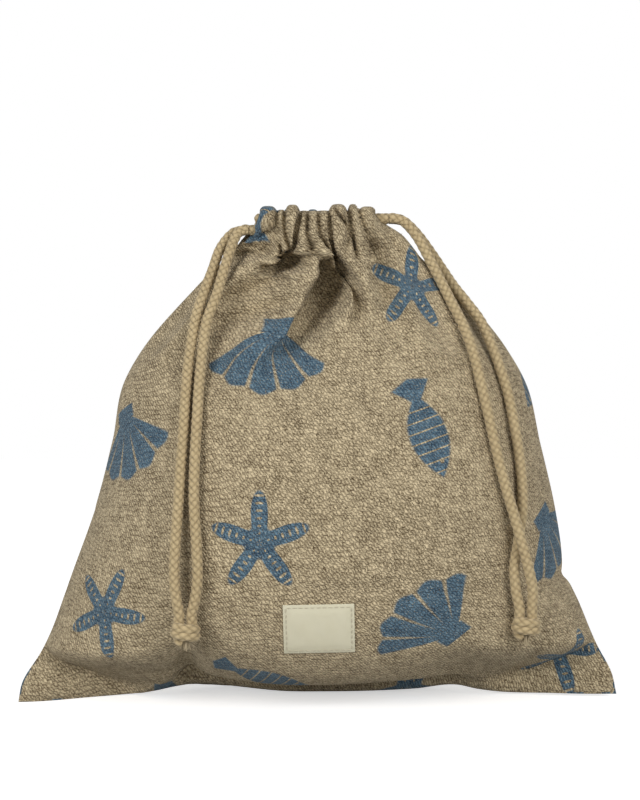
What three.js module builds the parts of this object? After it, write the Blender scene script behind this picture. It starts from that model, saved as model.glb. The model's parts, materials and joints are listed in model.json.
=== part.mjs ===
// Drawstring bag: two canvas panels sewn at the sides and the bottom, filled and standing on its base,
// with a casing round the gathered mouth. Two cords run round the casing. One leaves it at the left
// end and the other at the right end, and each cord's two tails are tied in one knot.
// Millimetres, +Z up, the front faces -Y, and the origin is at the middle of the base on the floor.
import * as THREE from 'three';

// Filled bag
const BAG_WIDTH = 311;        // bottom corner to bottom corner
const BAG_HEIGHT = 254;       // floor to the top of the casing
const BAG_DEPTH = 140;        // front to back at the fullest part of the belly
const BELLY_HEIGHT = 85;      // floor to the fullest part of the belly
const BASE_LENGTH = 200;      // flat base, side to side
const BASE_DEPTH = 52;        // flat base, front to back
const LEVEL_LENGTH = 140;     // middle stretch of the base that is quite level
const NECK_DEPTH = 34;        // front to back, just under the casing
const EAR_SWING = 10;         // how far the flat bottom corners are folded forward
const EAR_HEIGHT = 70;        // floor to where the flat corners run out into the belly

// Cloth and seams
const CLOTH = 1;              // canvas
const PANEL_GAP = 0.3;        // front panel to back panel along the seam
const FIT_GAP = 0.3;          // between any other two pieces that touch
const SEAM_ALLOWANCE = 8;     // width of the two turned-in edges
const SEAM_INSET = 2.5;       // from the panel's edge to the turned-in edges inside it
const VENT_DEPTH = 22;        // unsewn stretch of the side seam under the casing
const THREAD = 0.6;
const STITCH_INSET = 2;       // from an edge to the stitching beside it

// Casing and mouth
const CASING_LENGTH = 57;     // gathered, side to side
const CASING_HEIGHT = 20;
const MOUTH_DEPTH = 15;       // open mouth, front to back in the middle

// Cords
const CORD = 5.5;
const CORD_PLAY = 0.5;        // round each cord in the casing
const TAIL_SPACING = 6.4;     // between the two tails of a cord where they enter its knot
const KNOT_WIDTH = 15;
const KNOT_HEIGHT = 13;
const KNOT_STUB = 4;          // cut ends of the cord below the knot

// Label
const LABEL_WIDTH = 35;
const LABEL_HEIGHT = 25;
const LABEL_THICKNESS = 0.6;
const LABEL_CENTRE_HEIGHT = 47;
const LABEL_TILT = THREE.MathUtils.degToRad(1);

// Worked-out sizes
const NECK_Z = BAG_HEIGHT - CASING_HEIGHT;
const PANEL_TOP = NECK_Z - FIT_GAP;
const HALF_GAP = PANEL_GAP / 2;
const SEAM_THICKNESS = 2 * CLOTH;
const EAR_ROOM = SEAM_THICKNESS / 2 + FIT_GAP - HALF_GAP;
const CHANNEL_WIDTH = CORD + 2 * CORD_PLAY;
const CHANNEL_HEIGHT = 2 * CORD + 3 * CORD_PLAY;
const CASING_THICKNESS = CHANNEL_WIDTH + 2 * CLOTH;
const CASING_MIDDLE = HALF_GAP + CASING_THICKNESS / 2;
const CASING_END = CASING_LENGTH / 2;
const UPPER_CORD_Z = BAG_HEIGHT - CLOTH - CORD_PLAY - CORD / 2;
const LOWER_CORD_Z = UPPER_CORD_Z - CORD - CORD_PLAY;
const TAIL_START = CASING_END + FIT_GAP + CASING_MIDDLE + CORD / 2 + FIT_GAP;

// Mesh counts
const PANEL_COLUMNS = 40;
const CASING_STATIONS = 16;
const TUBE_SIDES = 8;
const THREAD_SIDES = 5;
const KNOT_SIDES = 12;

// Side edge of the filled bag, as shares of the panel's height and of half the bag's width
const SIDE_EDGE = [
  [0, 1], [0.04, 0.984], [0.094, 0.942], [0.227, 0.855], [0.389, 0.789], [0.522, 0.736],
  [0.655, 0.694], [0.762, 0.634], [0.843, 0.536], [0.924, 0.42], [1, 0.27],
];
const sideEdge = new THREE.CubicInterpolant(SIDE_EDGE.map((p) => p[0]), SIDE_EDGE.map((p) => p[1]), 1);

// Exponents that round the belly off towards the seams and the neck
const ROUNDING = 2.4;
const SIDE_FULLNESS = 0.6;
const CORNER_FULLNESS = 1.4;
const SHOULDER_FULLNESS = 1.8;
const SHOULDER_SLACK = 0.45;  // share by which the cloth above the belly hangs in instead of standing full

// Main folds below the casing, from the lower end up. Each place is a share of the panel's height, a share
// of the half width to the right as seen from that side, and a depth as a share of the bag's half depth.
const FOLD_WIDTH = 0.08;      // share of the half width, from the deepest line of a fold to its side
function foldCourse(places) {
  const heights = places.map((place) => place[0]);
  return new THREE.LinearInterpolant(heights, places.flatMap((place) => place.slice(1)), 2);
}
const FRONT_FOLDS = [
  [
    [0.736, -0.2, 0], [0.8, -0.11, 0.14], [0.856, -0.01, 0.22], [0.894, 0.04, 0.36], [0.933, 0.08, 0.4],
    [0.993, 0.07, 0],
  ],
  [[0.83, -0.66, 0], [0.89, -0.62, 0.15], [0.95, -0.52, 0.23], [0.993, -0.5, 0]],
  [[0.8, 0.33, 0], [0.886, 0.45, 0.18], [0.95, 0.47, 0.26], [0.993, 0.41, 0]],
].map(foldCourse);
const BACK_FOLDS = [
  [[0.762, -0.18, 0], [0.83, -0.16, 0.18], [0.89, -0.12, 0.33], [0.941, -0.08, 0.36], [0.993, -0.05, 0]],
  [[0.83, 0.53, 0], [0.9, 0.52, 0.2], [0.95, 0.47, 0.28], [0.993, 0.45, 0]],
  [[0.82, -0.45, 0], [0.894, -0.47, 0.2], [0.95, -0.46, 0.28], [0.993, -0.41, 0]],
].map(foldCourse);

const canvas = { color: 0xb9afa0, roughness: 0.95, metalness: 0 };
const cotton = { color: 0xd8d2c6, roughness: 0.95, metalness: 0 };
const ribbon = { color: 0xe6dfcf, roughness: 0.85, metalness: 0 };
const thread = { color: 0xc9c0b0, roughness: 0.8, metalness: 0 };

const bag = new THREE.Group();

function addPiece(name, geometry, finish) {
  const mesh = new THREE.Mesh(geometry, new THREE.MeshStandardMaterial(finish));
  mesh.name = name;
  bag.add(mesh);
  return mesh;
}

// Half the bag's width at a height, to the side seam
function halfWidth(z) {
  return sideEdge.evaluate(THREE.MathUtils.clamp(z / PANEL_TOP, 0, 1))[0] * BAG_WIDTH / 2;
}

// Half the width of the filled belly, which leaves the bottom corners flat
function bellyHalfWidth(z) {
  const baseShare = BASE_LENGTH / BAG_WIDTH;
  return halfWidth(z) * THREE.MathUtils.lerp(baseShare, 1, Math.min(1, z / EAR_HEIGHT));
}

// Half the bag's depth on its centre line
function halfDepth(z) {
  if (z < BELLY_HEIGHT) {
    const below = 1 - z / BELLY_HEIGHT;
    return BASE_DEPTH / 2 + (BAG_DEPTH - BASE_DEPTH) / 2 * Math.sqrt(1 - below * below);
  }
  const rise = Math.min(1, (z - BELLY_HEIGHT) / (PANEL_TOP - BELLY_HEIGHT));
  const hollow = THREE.MathUtils.lerp(
    rise ** SHOULDER_FULLNESS, THREE.MathUtils.smoothstep(rise, 0, 1), SHOULDER_SLACK);
  return NECK_DEPTH / 2 + (BAG_DEPTH - NECK_DEPTH) / 2 * (1 - hollow);
}

function bulge(x, z) {
  const out = Math.min(1, Math.abs(x) / bellyHalfWidth(z));
  const fullness = THREE.MathUtils.lerp(CORNER_FULLNESS, SIDE_FULLNESS, Math.min(1, z / EAR_HEIGHT));
  return (1 - out ** ROUNDING) ** fullness;
}

// How far the folds press a panel in at a place, as a share of the half depth there
function foldDepth(folds, x, z) {
  let total = 0;
  for (const fold of folds) {
    const [middle, depth] = fold.evaluate(z / PANEL_TOP);
    const away = (x / halfWidth(z) - middle) / FOLD_WIDTH;
    total += depth * Math.exp(-away * away);
  }
  return total;
}

// The flat corners fold forward: how far the seam plane lies in front of the middle
function earSwing(x, z) {
  const out = THREE.MathUtils.smoothstep(Math.abs(x), BASE_LENGTH / 2, BAG_WIDTH / 2);
  return EAR_SWING * out * (1 - THREE.MathUtils.smoothstep(z, 0, EAR_HEIGHT));
}

// A closed solid between two grids of points that face each other
function solidBetween(outer, inner) {
  const rows = outer.length;
  const columns = outer[0].length;
  const points = [...outer.flat(), ...inner.flat()];
  const index = [];
  const at = (row, column, side) => side * rows * columns + row * columns + column;
  const quad = (a, b, c, d) => index.push(a, b, c, a, c, d);
  for (let r = 0; r < rows - 1; r += 1) {
    for (let c = 0; c < columns - 1; c += 1) {
      quad(at(r, c, 0), at(r, c + 1, 0), at(r + 1, c + 1, 0), at(r + 1, c, 0));
      quad(at(r, c, 1), at(r + 1, c, 1), at(r + 1, c + 1, 1), at(r, c + 1, 1));
    }
    quad(at(r, 0, 0), at(r + 1, 0, 0), at(r + 1, 0, 1), at(r, 0, 1));
    quad(at(r, columns - 1, 1), at(r + 1, columns - 1, 1), at(r + 1, columns - 1, 0), at(r, columns - 1, 0));
  }
  for (let c = 0; c < columns - 1; c += 1) {
    quad(at(0, c, 1), at(0, c + 1, 1), at(0, c + 1, 0), at(0, c, 0));
    quad(at(rows - 1, c, 0), at(rows - 1, c + 1, 0), at(rows - 1, c + 1, 1), at(rows - 1, c, 1));
  }
  const geometry = new THREE.BufferGeometry().setFromPoints(points);
  geometry.setIndex(index);
  return geometry;
}

function gridNormal(grid, row, column) {
  const last = (list, i) => list[Math.min(list.length - 1, i)];
  const along = last(grid[row], column + 1).clone().sub(grid[row][Math.max(0, column - 1)]);
  const up = last(grid, row + 1)[column].clone().sub(grid[Math.max(0, row - 1)][column]);
  return along.cross(up).normalize();
}

// Heights and depths of the panel's rows: along the base, round under the belly, and up to the neck
function panelRows() {
  const BASE_STEPS = 2;
  const UNDER_STEPS = 5;
  const UPPER_STEPS = 14;
  const rows = [];
  for (let i = 0; i < BASE_STEPS; i += 1) {
    rows.push({ z: 0, share: i / BASE_STEPS, lift: i * CLOTH });
  }
  for (let i = 0; i < UNDER_STEPS; i += 1) {
    const angle = i / UNDER_STEPS * Math.PI / 2;
    rows.push({ z: BELLY_HEIGHT * (1 - Math.cos(angle)), share: 1, lift: i === 0 ? BASE_STEPS * CLOTH : 0 });
  }
  for (let i = 0; i <= UPPER_STEPS; i += 1) {
    rows.push({ z: THREE.MathUtils.lerp(BELLY_HEIGHT, PANEL_TOP, i / UPPER_STEPS), share: 1, lift: 0 });
  }
  return rows;
}

// A panel's outer face, in the front panel's place.
// In the flat corners it keeps room for the turned-in edges.
function panelOuter(folds) {
  const rows = panelRows();
  return rows.map((row, r) => {
    const points = [];
    for (let c = 0; c <= PANEL_COLUMNS; c += 1) {
      const turn = (c / PANEL_COLUMNS - 0.5) * Math.PI;
      const x = halfWidth(row.z) * Math.sin(turn);
      const onSeam = c === 0 || c === PANEL_COLUMNS || r === 0;
      const flat = onSeam ? 0 : CLOTH + EAR_ROOM;
      const belly = row.share * halfDepth(row.z) * (bulge(x, row.z) - foldDepth(folds, x, row.z));
      const z = row.z + row.lift * THREE.MathUtils.smoothstep(Math.abs(x), LEVEL_LENGTH / 2, BASE_LENGTH / 2);
      const y = -HALF_GAP - Math.max(onSeam ? 0 : belly, flat) - earSwing(x, z);
      points.push(new THREE.Vector3(x, y, z));
    }
    return points;
  });
}

// The inner face lies one cloth inside the outer one and stops at the seam plane
function panelInner(outer) {
  const topRow = outer.length - 1;
  return outer.map((row, r) => row.map((point, c) => {
    const seamY = -HALF_GAP - earSwing(point.x, point.z);
    const atSide = c === 0 || c === PANEL_COLUMNS;
    const inward = atSide
      ? new THREE.Vector3(c === 0 ? 1 : -1, 0, r === 0 ? 1 : 0)
      : gridNormal(outer, r, c).negate();
    if (r === 0 && !atSide) inward.set(0, 0, 1);
    if (r === topRow && !atSide) inward.setZ(0).normalize();
    const inside = point.clone().addScaledVector(inward, CLOTH);
    inside.y = Math.min(inside.y, seamY);
    return inside;
  }));
}

const frontOuter = panelOuter(FRONT_FOLDS);
addPiece('front_panel', solidBetween(frontOuter, panelInner(frontOuter)), canvas);

// The back panel is turned half round, apart from the corners, which fold forward on both
function backFace(grid) {
  return grid.map((row) => row.map((p) => (
    new THREE.Vector3(-p.x, -p.y - 2 * earSwing(p.x, p.z), p.z))));
}
const backOuter = panelOuter(BACK_FOLDS);
addPiece('back_panel', solidBetween(backFace(backOuter), backFace(panelInner(backOuter))), canvas);

// Turned-in edges of the seams, inside the bag: two layers of cloth, overlocked together
function seamStrip(points, inwardAt) {
  const layer = (y) => points.map((p) => [p, inwardAt(p)].map((q) => (
    new THREE.Vector3(q.x, y - earSwing(q.x, q.z), q.z))));
  return [layer(-SEAM_THICKNESS / 2), layer(SEAM_THICKNESS / 2)];
}

const SEAM_START = CLOTH + SEAM_INSET;
const bottomSeamTop = SEAM_START + SEAM_ALLOWANCE;

// The strip turns where the panel's facets do: it takes the panel's own rows and columns within its reach
function stationsBetween(from, to, panelStations) {
  return [from, ...panelStations.filter((s) => s > from + FIT_GAP && s < to - FIT_GAP), to];
}

function sideSeam(name, side) {
  const heights = stationsBetween(
    bottomSeamTop + FIT_GAP, NECK_Z - VENT_DEPTH, frontOuter.map((row) => row[0].z));
  const edge = heights.map((z) => new THREE.Vector3(side * (halfWidth(z) - SEAM_START), 0, z));
  const inwardAt = (p) => new THREE.Vector3(p.x - side * SEAM_ALLOWANCE, 0, p.z);
  const [front, back] = seamStrip(edge, inwardAt);
  addPiece(name, side < 0 ? solidBetween(front, back) : solidBetween(back, front), canvas);
}
sideSeam('left_side_seam', -1);
sideSeam('right_side_seam', 1);

const bottomHalf = halfWidth(bottomSeamTop) - SEAM_START - SEAM_ALLOWANCE;
const bottomEdge = stationsBetween(-bottomHalf, bottomHalf, frontOuter[0].map((p) => p.x))
  .map((x) => new THREE.Vector3(x, 0, SEAM_START));
const [bottomFront, bottomBack] = seamStrip(bottomEdge, (p) => new THREE.Vector3(p.x, 0, bottomSeamTop));
addPiece('bottom_seam', solidBetween(bottomBack, bottomFront), canvas);

// Casing: the panel's top edge folded over into a tunnel, drawn up round the mouth.
// Its two halves curve apart in the middle, and their ends lie side by side, facing outwards.
function casingMiddle(x) {
  const spread = Math.cos(Math.PI / 2 * x / CASING_END) ** 2;
  return CASING_MIDDLE + MOUTH_DEPTH / 2 * spread;
}

function roundedBox(width, bottom, top, corner) {
  const half = width / 2;
  return [
    [half, bottom + corner], [half, top - corner], [half - corner, top], [corner - half, top],
    [-half, top - corner], [-half, bottom + corner], [corner - half, bottom], [half - corner, bottom],
  ];
}

function casing(side) {
  const channelBottom = LOWER_CORD_Z - CORD / 2 - CORD_PLAY;
  const corner = CHANNEL_WIDTH / 4;
  const skin = roundedBox(CASING_THICKNESS, NECK_Z, BAG_HEIGHT, corner);
  const tunnel = roundedBox(CHANNEL_WIDTH, channelBottom, channelBottom + CHANNEL_HEIGHT, corner);
  const loops = [skin, tunnel];
  const count = skin.length;
  const points = [];
  const index = [];
  for (let i = 0; i <= CASING_STATIONS; i += 1) {
    const x = THREE.MathUtils.lerp(-CASING_END, CASING_END, i / CASING_STATIONS);
    for (const loop of loops) {
      for (const [across, z] of loop) {
        points.push(new THREE.Vector3(-side * x, side * (casingMiddle(x) + across), z));
      }
    }
  }
  const at = (station, loop, k) => (station * loops.length + loop) * count + k % count;
  const quad = (a, b, c, d) => index.push(a, b, c, a, c, d);
  for (let k = 0; k < count; k += 1) {
    for (let i = 0; i < CASING_STATIONS; i += 1) {
      quad(at(i, 0, k), at(i + 1, 0, k), at(i + 1, 0, k + 1), at(i, 0, k + 1));
      quad(at(i, 1, k), at(i, 1, k + 1), at(i + 1, 1, k + 1), at(i + 1, 1, k));
    }
    quad(at(0, 0, k), at(0, 0, k + 1), at(0, 1, k + 1), at(0, 1, k));
    quad(at(CASING_STATIONS, 0, k), at(CASING_STATIONS, 1, k), at(CASING_STATIONS, 1, k + 1),
      at(CASING_STATIONS, 0, k + 1));
  }
  const geometry = new THREE.BufferGeometry().setFromPoints(points);
  geometry.setIndex(index);
  return geometry;
}

const FRONT = -1;
const BACK = 1;
addPiece('front_casing', casing(FRONT), canvas);
addPiece('back_casing', casing(BACK), canvas);

// A solid round tube along a smooth curve through the points
function tube(points, diameter, sides, steps) {
  const section = new THREE.Shape();
  for (let k = 0; k < sides; k += 1) {
    const angle = k / sides * 2 * Math.PI;
    const [u, v] = [Math.cos(angle) * diameter / 2, Math.sin(angle) * diameter / 2];
    if (k === 0) section.moveTo(u, v);
    else section.lineTo(u, v);
  }
  const path = new THREE.CatmullRomCurve3(points);
  return new THREE.ExtrudeGeometry(section, { steps, extrudePath: path, bevelEnabled: false });
}

// Stitching round the foot of the casing
function casingStitching(name, side) {
  const off = CASING_THICKNESS / 2 + FIT_GAP + THREAD / 2;
  const points = [];
  for (let i = 0; i <= CASING_STATIONS; i += 1) {
    const x = THREE.MathUtils.lerp(-CASING_END, CASING_END, i / CASING_STATIONS);
    points.push(new THREE.Vector3(x, side * (casingMiddle(x) + off), NECK_Z + STITCH_INSET));
  }
  addPiece(name, tube(points, THREAD, THREAD_SIDES, CASING_STATIONS), thread);
}
casingStitching('front_casing_stitching', FRONT);
casingStitching('back_casing_stitching', BACK);

// Label, laid on the curve of the front panel, and the stitching round its edge
function onFront(x, z, off) {
  const REACH = 0.5;
  const y = (px, pz) => -HALF_GAP - halfDepth(pz) * bulge(px, pz);
  const slopeX = (y(x + REACH, z) - y(x - REACH, z)) / (2 * REACH);
  const slopeZ = (y(x, z + REACH) - y(x, z - REACH)) / (2 * REACH);
  const normal = new THREE.Vector3(slopeX, -1, slopeZ).normalize();
  return new THREE.Vector3(x, y(x, z), z).addScaledVector(normal, off);
}

function onLabel(across, up, off) {
  const lean = Math.cos(LABEL_TILT);
  const turn = Math.sin(LABEL_TILT);
  const below = halfDepth(LABEL_CENTRE_HEIGHT - LABEL_HEIGHT / 2);
  const above = halfDepth(LABEL_CENTRE_HEIGHT + LABEL_HEIGHT / 2);
  const slope = (above - below) / LABEL_HEIGHT;
  const rise = up / Math.hypot(1, slope);
  return onFront(across * lean - rise * turn, LABEL_CENTRE_HEIGHT + across * turn + rise * lean, off);
}

function labelFace(off) {
  const STEPS = 6;
  const face = [];
  for (let r = 0; r <= STEPS; r += 1) {
    const row = [];
    for (let c = 0; c <= STEPS; c += 1) {
      row.push(onLabel((c / STEPS - 0.5) * LABEL_WIDTH, (r / STEPS - 0.5) * LABEL_HEIGHT, off));
    }
    face.push(row);
  }
  return face;
}
addPiece('label', solidBetween(labelFace(FIT_GAP + LABEL_THICKNESS), labelFace(FIT_GAP)), ribbon);

// One thread round the label, whose ends stop a thread apart at the first corner
const threadOff = FIT_GAP + LABEL_THICKNESS + FIT_GAP + THREAD / 2;
const stitchWidth = LABEL_WIDTH - 2 * STITCH_INSET;
const stitchHeight = LABEL_HEIGHT - 2 * STITCH_INSET;
const SIDE_STEPS = 4;
const threadLoop = [];
const corners = [[-1, -1], [1, -1], [1, 1], [-1, 1], [-1, -1]];
for (let side = 0; side < corners.length - 1; side += 1) {
  for (let i = side === 0 ? 1 : 0; i < SIDE_STEPS; i += 1) {
    const u = THREE.MathUtils.lerp(corners[side][0], corners[side + 1][0], i / SIDE_STEPS);
    const v = THREE.MathUtils.lerp(corners[side][1], corners[side + 1][1], i / SIDE_STEPS);
    threadLoop.push(onLabel(u * stitchWidth / 2, v * stitchHeight / 2, threadOff));
  }
}
const LABEL_STITCH_STEPS = 40;
addPiece('label_stitching', tube(threadLoop, THREAD, THREAD_SIDES, LABEL_STITCH_STEPS), thread);

// Cord runs inside the casing, and each cord's turn from one half of the casing to the other
const RUN_STEPS = 12;
const TURN_STEPS = 8;

function cordRun(name, side, z) {
  const points = [];
  for (let i = 0; i <= RUN_STEPS; i += 1) {
    const x = THREE.MathUtils.lerp(-CASING_END, CASING_END, i / RUN_STEPS);
    points.push(new THREE.Vector3(x, side * casingMiddle(x), z));
  }
  addPiece(name, tube(points, CORD, TUBE_SIDES, RUN_STEPS), cotton);
}

function cordTurn(name, end, z) {
  const points = [];
  for (let i = 0; i <= TURN_STEPS; i += 1) {
    const angle = THREE.MathUtils.lerp(-Math.PI / 2, Math.PI / 2, i / TURN_STEPS);
    const out = CASING_END + FIT_GAP + CASING_MIDDLE * Math.cos(angle);
    points.push(new THREE.Vector3(end * out, CASING_MIDDLE * Math.sin(angle), z));
  }
  addPiece(name, tube(points, CORD, TUBE_SIDES, TURN_STEPS), cotton);
}

// From the casing's end to where the tail starts to swing
function cordLead(name, end, side, z) {
  const from = end * (CASING_END + FIT_GAP);
  const to = end * (TAIL_START - FIT_GAP);
  const points = [from, to].map((x) => new THREE.Vector3(x, side * CASING_MIDDLE, z));
  addPiece(name, tube(points, CORD, TUBE_SIDES, 1), cotton);
}

const LEFT = -1;
const RIGHT = 1;
const cords = [
  { name: 'left_cord', end: LEFT, z: LOWER_CORD_Z },
  { name: 'right_cord', end: RIGHT, z: UPPER_CORD_Z },
];
for (const cord of cords) {
  cordRun(`${cord.name}_front_run`, FRONT, cord.z);
  cordRun(`${cord.name}_back_run`, BACK, cord.z);
  cordTurn(`${cord.name}_turn`, -cord.end, cord.z);
  cordLead(`${cord.name}_front_lead`, cord.end, FRONT, cord.z);
  cordLead(`${cord.name}_back_lead`, cord.end, BACK, cord.z);
}

// Routes of the four tails over the shoulders and down the front of the belly, chosen by hand
const LEFT_FRONT_ROUTE = [
  [-43, -6, 240.5], [-47.5, -14.8, 227], [-52, -23, 210.5], [-56.3, -29.5, 198], [-58, -35.5, 186],
  [-59.5, -44, 168], [-60.2, -52, 151], [-61, -58.3, 131.5], [-61.3, -63, 110], [-60, -66.5, 89],
  [-59.3, -68.3, 74], [-60.3, -68.5, 63],
];
const LEFT_BACK_ROUTE = [
  [-45, 0.5, 242], [-51, -6, 234], [-54.5, -12.5, 223.5], [-58.5, -19.5, 212], [-62.3, -27, 199.5],
  [-65, -36, 181], [-66.2, -43, 166], [-67, -51.5, 146], [-68.2, -57.3, 126], [-69, -61.2, 109.5],
  [-70.3, -65.5, 89.5], [-70.8, -68, 74], [-70, -68.5, 63],
];
const RIGHT_FRONT_ROUTE = [
  [44, -4.2, 248], [50.5, -6, 240.5], [56, -8.2, 230.5], [62, -12, 218.5], [68, -18, 206],
  [73, -24, 195.5], [77.5, -31, 182.5], [81.2, -37, 167], [85, -41.5, 149.5], [89.2, -45, 130],
  [93, -47, 115], [97, -49.5, 101], [100.5, -52, 88], [104, -52.8, 75], [106.2, -52, 64],
];
const RIGHT_BACK_ROUTE = [
  [44.5, 3.2, 248.3], [51.5, 3.2, 241.5], [58.5, 2.5, 232], [64.5, 0.5, 223], [70, -4.5, 214.5],
  [76.5, -9, 206], [83.2, -13.5, 196.5], [88, -19.5, 185], [92.3, -25, 172.5], [96, -29, 159.5],
  [98.8, -33, 144], [101.2, -35, 129], [102.3, -38.5, 114], [102, -42.5, 101], [99.8, -45.4, 88],
  [97.5, -48.5, 75], [98, -50.5, 64],
];
const KNOTS = [
  { name: 'left_knot', x: -65.3, y: -68.5, z: 45 },
  { name: 'right_knot', x: 103, y: -51.5, z: 45 },
];
const KNOT_LANDING = KNOT_HEIGHT / 2 + FIT_GAP;

function tail(name, cord, side, knot, knotSide, route) {
  const straight = CORD / 2;
  const start = new THREE.Vector3(cord.end * TAIL_START, side * CASING_MIDDLE, cord.z);
  const landing = new THREE.Vector3(knot.x + knotSide * TAIL_SPACING / 2, knot.y, knot.z + KNOT_LANDING);
  const points = [
    start,
    start.clone().setX(start.x + cord.end * straight),
    ...route.map((point) => new THREE.Vector3(...point)),
    landing.clone().setZ(landing.z + straight),
    landing,
  ];
  addPiece(name, tube(points, CORD, TUBE_SIDES, points.length + 3), cotton);
}
const [leftCord, rightCord] = cords;
const [leftKnot, rightKnot] = KNOTS;
tail('left_cord_front_tail', leftCord, FRONT, leftKnot, RIGHT, LEFT_FRONT_ROUTE);
tail('left_cord_back_tail', leftCord, BACK, leftKnot, LEFT, LEFT_BACK_ROUTE);
tail('right_cord_front_tail', rightCord, FRONT, rightKnot, RIGHT, RIGHT_FRONT_ROUTE);
tail('right_cord_back_tail', rightCord, BACK, rightKnot, LEFT, RIGHT_BACK_ROUTE);

// Knot: two turns of cord, one above the other, with the cut ends below
function knotGeometry() {
  const ARC_STEPS = 4;
  const wrap = KNOT_HEIGHT / 4;
  const middle = KNOT_WIDTH / 2 - wrap;
  const profile = [
    new THREE.Vector2(0, -KNOT_HEIGHT / 2 - KNOT_STUB),
    new THREE.Vector2(CORD / 2, -KNOT_HEIGHT / 2 - KNOT_STUB),
    new THREE.Vector2(CORD / 2, -KNOT_HEIGHT / 2),
  ];
  for (const height of [-wrap, wrap]) {
    for (let i = 0; i <= ARC_STEPS; i += 1) {
      const angle = THREE.MathUtils.lerp(-Math.PI / 2, Math.PI / 2, i / ARC_STEPS);
      if (i === 0 && height > 0) continue;
      profile.push(new THREE.Vector2(middle + wrap * Math.cos(angle), height + wrap * Math.sin(angle)));
    }
  }
  profile.push(new THREE.Vector2(0, KNOT_HEIGHT / 2));
  return new THREE.LatheGeometry(profile, KNOT_SIDES).rotateX(Math.PI / 2);
}
for (const knot of KNOTS) {
  addPiece(knot.name, knotGeometry(), cotton).position.set(knot.x, knot.y, knot.z);
}

export default bag;
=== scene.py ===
# %% [markdown]
# # A drawstring bag in printed canvas
# The bag is two canvas panels sewn together down the sides and along the bottom. The top edge of each
# panel is folded over and stitched down, which makes a tunnel called a casing. Two braided cords run
# through both casings, one pulled out at each end, and each pair of ends is tied in a knot.
# The measured solids come in first as a fixed frame, and the lesson then dresses them piece by piece.

# %% Load the solids
import json
import math

import bpy
import numpy as np
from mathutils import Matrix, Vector
from mathutils.bvhtree import BVHTree


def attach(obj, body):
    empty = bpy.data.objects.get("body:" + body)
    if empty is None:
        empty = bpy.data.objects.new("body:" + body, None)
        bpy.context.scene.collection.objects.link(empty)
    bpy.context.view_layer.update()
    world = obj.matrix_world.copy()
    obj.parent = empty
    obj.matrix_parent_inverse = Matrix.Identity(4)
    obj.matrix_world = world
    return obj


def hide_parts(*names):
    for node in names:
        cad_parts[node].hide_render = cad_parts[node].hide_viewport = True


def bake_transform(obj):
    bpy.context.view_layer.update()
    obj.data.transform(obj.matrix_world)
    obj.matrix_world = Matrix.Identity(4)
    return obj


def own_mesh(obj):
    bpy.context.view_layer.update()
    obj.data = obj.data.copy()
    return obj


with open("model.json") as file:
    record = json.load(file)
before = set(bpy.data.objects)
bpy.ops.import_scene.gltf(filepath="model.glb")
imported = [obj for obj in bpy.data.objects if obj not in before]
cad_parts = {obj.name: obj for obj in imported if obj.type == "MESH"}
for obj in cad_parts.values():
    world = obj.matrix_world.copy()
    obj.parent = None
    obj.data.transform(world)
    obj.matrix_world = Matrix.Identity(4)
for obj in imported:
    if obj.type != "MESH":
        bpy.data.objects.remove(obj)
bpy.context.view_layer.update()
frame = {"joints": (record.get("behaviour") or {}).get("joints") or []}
MM = 0.001

# %% [markdown]
# ## The camera
# The camera stands a metre away, a little above the table, as in the photograph. A focal length that is
# given in pixels turns into a lens by the size of the sensor, which Blender lays along the longer side of
# the picture.

# %% Set up the camera
LOOK_AT = Vector((0.5, 0, 155.5)) * MM
CAMERA_AWAY = 1000 * MM
CAMERA_RISE = math.radians(3)
FOCAL_PIXELS = 1916
PICTURE_HEIGHT = 800
SENSOR = 36

toward = Vector((0, -math.cos(CAMERA_RISE), math.sin(CAMERA_RISE)))
bpy.ops.object.camera_add(location=LOOK_AT + toward * CAMERA_AWAY)
camera = bpy.context.object
camera.rotation_euler = toward.to_track_quat("Z", "Y").to_euler()
camera.data.sensor_width = SENSOR
camera.data.lens = SENSOR * FOCAL_PIXELS / PICTURE_HEIGHT
bpy.context.scene.camera = camera
print("lens:", round(camera.data.lens, 1), "mm")

# %% [markdown]
# ## Helpers for soft pieces
# A cord and a panel of cloth are both a grid of points that has been pushed into shape: round a tube, or
# along a hanging sheet. So one helper adds Blender's own grid, which comes with a UV map, and moves its
# points to where they are worked out, in millimetres. Everything is deselected first, because the solids
# are still selected after loading.

# %% Grids, modifiers and smooth lines
CURVE_STEPS = 24


def clear_selection():
    bpy.ops.object.select_all(action="DESELECT")


def edit_all(operator, **options):
    """Runs an edit-mode operator on all of the active piece."""
    bpy.ops.object.mode_set(mode="EDIT")
    bpy.ops.mesh.select_all(action="SELECT")
    operator(**options)
    bpy.ops.object.mode_set(mode="OBJECT")


def apply_modifier(piece, kind, **settings):
    """Adds a modifier to the active piece, sets it up and applies it."""
    modifier = piece.modifiers.new(kind.title(), kind)
    for setting, value in settings.items():
        setattr(modifier, setting, value)
    bpy.ops.object.modifier_apply(modifier=modifier.name)


def grid_piece(name, points):
    """A grid of faces through points[column, row], which are in millimetres."""
    columns, rows = points.shape[:2]
    clear_selection()
    bpy.ops.mesh.primitive_grid_add(x_subdivisions=columns - 1, y_subdivisions=rows - 1)
    piece = bpy.context.object
    piece.name = piece.data.name = name
    piece.data.vertices.foreach_set("co", (points.swapaxes(0, 1) * MM).ravel())
    piece.data.update()
    bpy.ops.object.shade_smooth()
    return piece


def mesh_piece(name, points, faces):
    """A piece from points in millimetres and lists of corners."""
    mesh = bpy.data.meshes.new(name)
    mesh.from_pydata((np.asarray(points) * MM).tolist(), [], np.asarray(faces).tolist())
    piece = bpy.data.objects.new(name, mesh)
    bpy.context.collection.objects.link(piece)
    clear_selection()
    piece.select_set(True)
    bpy.context.view_layer.objects.active = piece
    bpy.ops.object.shade_smooth()
    return piece


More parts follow.
